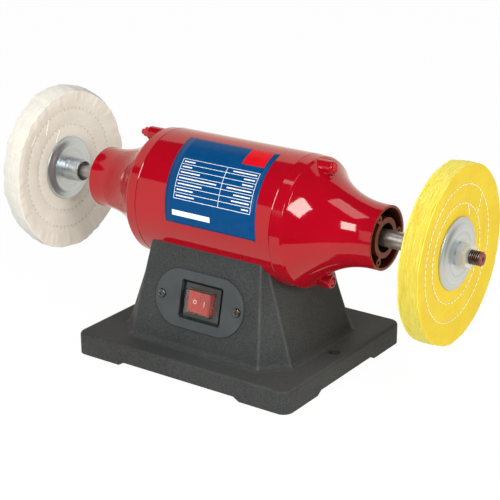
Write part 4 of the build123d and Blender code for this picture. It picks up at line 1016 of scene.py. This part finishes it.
def cloth_wheel(node, slot, rim_r, rim_half, stitching, runs, **looks):
    """One buffing wheel with its stitches and its loose fibres.

    The stitching is (thread, stitch length, thickness). Runs of thread between the rows, on the right-hand
    face, are (thread, radius in mm, angle, radius in mm, angle).
    """
    low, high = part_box(node)
    middle = (low.x + high.x) / 2
    cloth = finishes[slot]
    stitches = [round(math.tau * row / stitch_length) for row in stitch_rows]
    profile = profile_mesh(node + "_profile", wheel_profile(rim_r, rim_half))
    wheel = grown(node + "_cloth", wheel_tree, profile, segments=320, plies=wheel_plies, rim=rim_r,
                  groove=rim_r - groove_depth - 1 * mm, stack=2 * (rim_half - lip), row_1=stitch_rows[0],
                  row_2=stitch_rows[1], stitches_1=float(stitches[0]), stitches_2=float(stitches[1]),
                  middle=middle, cloth=cloth, **looks)
    pieces = [wheel]
    row_thread, length, thickness = stitching
    lines = [(row_thread, side, radius, 0.0, radius, 360.0, count, length)
             for radius, count in zip(stitch_rows, stitches) for side in (-1.0, 1.0)]
    lines += [(run_thread, 1.0, radius * mm, angle, end_radius * mm, end_angle, 4, 4.4 * mm)
              for run_thread, radius, angle, end_radius, end_angle in runs]
    for number, (thread, side, radius, angle, end_radius, end_angle, count, span) in enumerate(lines, 1):
        pieces.append(grown(f"{node}_stitches_{number}", stitches_tree, wheel=wheel, middle=middle, side=side,
                            from_radius=radius, to_radius=end_radius, from_angle=math.radians(angle),
                            to_angle=math.radians(end_angle), count=count, length=span, thickness=thickness,
                            sink=0.10 * mm, seed=number, thread=finishes[thread]))
    pieces.append(grown(node + "_fibres", fibres_tree, wheel=wheel, rim=rim_r - 1.0 * mm, density=30000.0,
                        length=2.4 * mm, thickness=0.10 * mm, seed=7, cloth=cloth))
    for piece in pieces:
        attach(piece, "spindle")
    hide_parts(node)


wheel_tree = sewn_wheel_tree()
stitches_tree = stitch_tree()
fibres_tree = fibre_tree()


# Label
def label_rectangles(height):
    """Printed areas (left, right, low, high, ink), later ones on top: a red block, a table, a strip."""
    navy, red, white = range(3)
    areas = [(0, label_width, 0, height, navy), (*red_block, height, red)]
    table_left, _, table_right = table_columns
    row_height = (table_high - table_low) / len(table_bars)
    half_line = label_line / 2
    for row in range(len(table_bars) + 1):
        level = table_low + row * row_height
        areas.append((table_left, table_right, level - half_line, level + half_line, white))
    for across in table_columns:
        areas.append((across - half_line, across + half_line, table_low, table_high, white))
    start = table_left + table_margin
    end = table_right - table_margin
    for row, (name_length, value_length) in enumerate(table_bars):
        level = table_low + (row + 0.5) * row_height
        for left, right in ((start, start + name_length * mm), (end - value_length * mm, end)):
            areas.append((left, right, level - table_bar_half, level + table_bar_half, white))
    areas.append((*white_strip, white))
    return areas


def shell_label():
    """Printed foil wrapped on the motor shell, one face for each plain patch of ink."""
    height = (label_high_angle - label_low_angle) * shell_r
    areas = label_rectangles(height)
    across = sorted({round(edge, 7) for area in areas for edge in area[:2]})
    up = {round(edge, 7) for area in areas for edge in area[2:4]}
    bends = 40
    up = sorted(up | {round(height * step / bends, 7) for step in range(bends + 1)})
    work = bmesh.new()
    surface_r = shell_r + label_thickness / 2

    def corner(u, v):
        angle = label_low_angle + v / shell_r
        return work.verts.new((label_left + u - label_slant * v / height, -surface_r * math.cos(angle),
                               spindle_z + surface_r * math.sin(angle)))

    grid = [[corner(u, v) for u in across] for v in up]
    for row, (v, next_v) in enumerate(zip(up, up[1:])):
        for column, (u, next_u) in enumerate(zip(across, across[1:])):
            face = work.faces.new((grid[row][column], grid[row][column + 1],
                                   grid[row + 1][column + 1], grid[row + 1][column]))
            middle_u = (u + next_u) / 2
            middle_v = (v + next_v) / 2
            face.material_index = [area[4] for area in areas if area[0] < middle_u < area[1]
                                   and area[2] < middle_v < area[3]][-1]
    bmesh.ops.recalc_face_normals(work, faces=work.faces)
    mesh = mesh_of("shell_label", work)
    for ink in ("navy", "red", "white"):
        mesh.materials.append(finishes["label_" + ink])
    mesh.shade_smooth()
    label = link("shell_label", mesh)
    wall = label.modifiers.new("foil", "SOLIDIFY")
    wall.thickness = label_thickness
    wall.offset = 0
    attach(label, "machine")


# Stage
def camera():
    lens = bpy.data.cameras.new("camera")
    lens.sensor_width = view_sensor
    lens.lens = view_lens
    lens.clip_end = 20
    holder = link("camera", lens)
    turns = ((view_azimuth, "Z"), (90 - view_elevation, "X"), (-view_yaw, "Y"), (-view_pitch, "X"),
             (-view_roll, "Z"))
    orbit = Matrix.Identity(4)
    for angle, axis in turns[:2]:
        orbit = orbit @ Matrix.Rotation(math.radians(angle), 4, axis)
    place = Matrix.Translation(view_aim + orbit @ Vector((0, 0, view_distance)))
    for angle, axis in turns[2:]:
        orbit = orbit @ Matrix.Rotation(math.radians(angle), 4, axis)
    holder.matrix_world = place @ orbit
    bpy.context.scene.camera = holder


def lamp(name, place, towards, width, height, level, turn=0.0):
    """Rectangular softbox; level is its brightness as a mirror would show it."""
    light = bpy.data.lights.new(name, "AREA")
    light.shape = "RECTANGLE"
    light.size = width
    light.size_y = height
    light.energy = level * math.pi * width * height
    holder = link(name, light)
    holder.location = place
    facing = (place - towards).to_track_quat("Z", "Y").to_matrix()
    holder.rotation_euler = (facing @ Matrix.Rotation(math.radians(turn), 3, "Z")).to_euler()


def lamps():
    """Two softboxes, placed by their mirror images, and an overhead panel."""
    for name, (spot, azimuth, elevation, width, height) in softboxes.items():
        spot = Vector(spot) * mm
        turn = math.radians(azimuth)
        tilt = math.radians(elevation)
        away = Vector((math.sin(turn) * math.cos(tilt), -math.cos(turn) * math.cos(tilt), math.sin(tilt)))
        lamp(name, spot + away * softbox_distance, spot, width, height, softbox_level)
    lamp("overhead", overhead_aim + overhead_rise, overhead_aim, *overhead_size, overhead_level,
         turn=view_azimuth)


def seen_ray(tree, *kinds):
    """1 for rays of these kinds."""
    path = tree.nodes.new("ShaderNodeLightPath")
    total = Field(path.outputs[kinds[0]])
    for kind in kinds[1:]:
        total = total + Field(path.outputs[kind])
    return calc("MINIMUM", total, 1.0)


def right_of_card(x, y):
    """Positive on the right of the white card's edge."""
    turn = math.radians(card_azimuth)
    return x * math.cos(turn) + y * math.sin(turn)


def towards_camera(x, y):
    turn = math.radians(view_azimuth)
    return x * math.sin(turn) - y * math.cos(turn)


def below(height, elevation):
    """1 below an elevation, 0 above it, for the height of a direction."""
    edge = math.sin(math.radians(elevation))
    return 1 - rise(height, edge - 0.008, edge + 0.008)


def background(tree, strength, colour=(1, 1, 1)):
    return added(tree, "ShaderNodeBackground", {"Strength": strength, "Color": (*colour, 1)})


def blend(factor, first, second):
    """Shader between two, by a factor."""
    return added(factor.tree, "ShaderNodeMixShader", {0: factor, 1: first, 2: second})


def world_light():
    """Daylight, fuller from behind; the eye sees white, gloss mirrors a card and backdrop in a dark room."""
    world = bpy.data.worlds.new("studio")
    bpy.context.scene.world = world
    world.use_nodes = True
    tree = world.node_tree
    tree.nodes.clear()
    x, y, z = split(added(tree, "ShaderNodeTexCoord", output="Generated"))
    card = (1 - rise(right_of_card(x, y), -0.01, 0.01)) * below(z, card_top)
    backdrop = (1 - rise(towards_camera(x, y), -0.12, -0.08)) * below(z, backdrop_top)
    behind = rise(-towards_camera(x, y), 0.25, 0.9)
    plain = background(tree, daylight + behind * rear_light)
    mirrored = background(tree, room_dark + larger(card, backdrop) * (1 - room_dark), mirror_warmth)
    gloss = blend(seen_ray(tree, "Is Glossy Ray"), plain, mirrored)
    eye = blend(seen_ray(tree, "Is Camera Ray", "Is Transmission Ray"), gloss, background(tree, 1.0))
    add_node(tree, "ShaderNodeOutputWorld", {"Surface": eye})


def floor():
    """Plain white floor that keeps a faint shadow; gloss mirrors it only as far as the table reaches."""
    work = bmesh.new()
    bmesh.ops.create_circle(work, cap_ends=True, segments=96, radius=4.0)
    mesh = mesh_of("floor", work)
    material = bpy.data.materials.new("floor_white")
    material.use_nodes = True
    tree = material.node_tree
    tree.nodes.clear()
    x, y, _ = split(added(tree, "ShaderNodeTexCoord", output="Object"))
    past_table = rise(towards_camera(x, y), table_reach - 0.005, table_reach + 0.005)
    past_table = past_table * rise(right_of_card(x, y), -0.01, 0.01)
    under_base = 1 - rise(abs(x), base_high.x - 14 * mm, base_high.x - 4 * mm)
    under_base = under_base * (1 - rise(abs(y), base_high.y - 14 * mm, base_high.y - 4 * mm))
    gloss = seen_ray(tree, "Is Glossy Ray")
    eye = seen_ray(tree, "Is Camera Ray", "Is Transmission Ray")
    matt_ray = seen_ray(tree, "Is Diffuse Ray")
    lit = (eye * 0.97 + matt_ray * 0.5) * (1 - under_base)
    matt = added(tree, "ShaderNodeBsdfDiffuse", {"Color": (0.95, 0.95, 0.95, 1)})
    glow = added(tree, "ShaderNodeEmission", {
        "Color": tint(gloss, (1, 1, 1), mirror_warmth),
        "Strength": 1 + matt_ray * 0.7 - gloss * past_table * (1 - room_dark)})
    shown = blend(calc("MINIMUM", lit + gloss, 1.0), matt, glow)
    add_node(tree, "ShaderNodeOutputMaterial", {"Surface": shown})
    material.cycles.emission_sampling = "NONE"
    mesh.materials.append(material)
    link("floor", mesh)


dress_frame()
spindle_bar()
flanges()
bolt_lumps()
rocker_marks()
cloth_wheel("yellow_wheel", "yellow_cotton", rim_r=74.8 * mm, rim_half=9.0 * mm,
            stitching=("white_thread", 5.5 * mm, 0.6 * mm),
            runs=(("white_thread", 56.3, 133.5, 41.5, 143.7), ("white_thread", 39.7, 114.9, 33.1, 125.7)),
            ripple=0.5 * mm, ripples=2.2, crease=0.25 * mm, ply=0.82 * mm, fray=0.7 * mm, lobe=1.2 * mm,
            lobes=4.0, crown=0.5 * mm, pinch=0.5 * mm, pillow=0.3 * mm, runout=(0, 3.9 * mm, -2.4 * mm),
            slip=(0, 0, 0), lean=(0, -0.033, 0.017), seed=3.0)
# The cream wheel's dark stitches are painted shade for its shaded stitch holes
cloth_wheel("white_wheel", "cream_cotton", rim_r=76.0 * mm, rim_half=10.4 * mm,
            stitching=("stitch_shade_thread", 2.0 * mm, 0.8 * mm),
            runs=(("pale_thread", 56.9, 65.3, 47.0, 53.1), ("pale_thread", 39.5, 78.0, 31.2, 62.3),
                  ("pale_thread", 59.2, 43.9, 59.5, 32.9)),
            ripple=2.4 * mm, ripples=2.6, crease=2.0 * mm, ply=0.70 * mm, fray=0.8 * mm, lobe=1.6 * mm,
            lobes=5.0, crown=2.0 * mm, pinch=0.8 * mm, pillow=0.5 * mm, runout=(0, 3.5 * mm, -0.8 * mm),
            slip=(0, -3.0 * mm, -3.0 * mm), lean=(0, 0, -0.017), seed=11.0)
shell_label()
floor()
world_light()
lamps()
camera()
bpy.context.scene.view_settings.view_transform = "Standard"
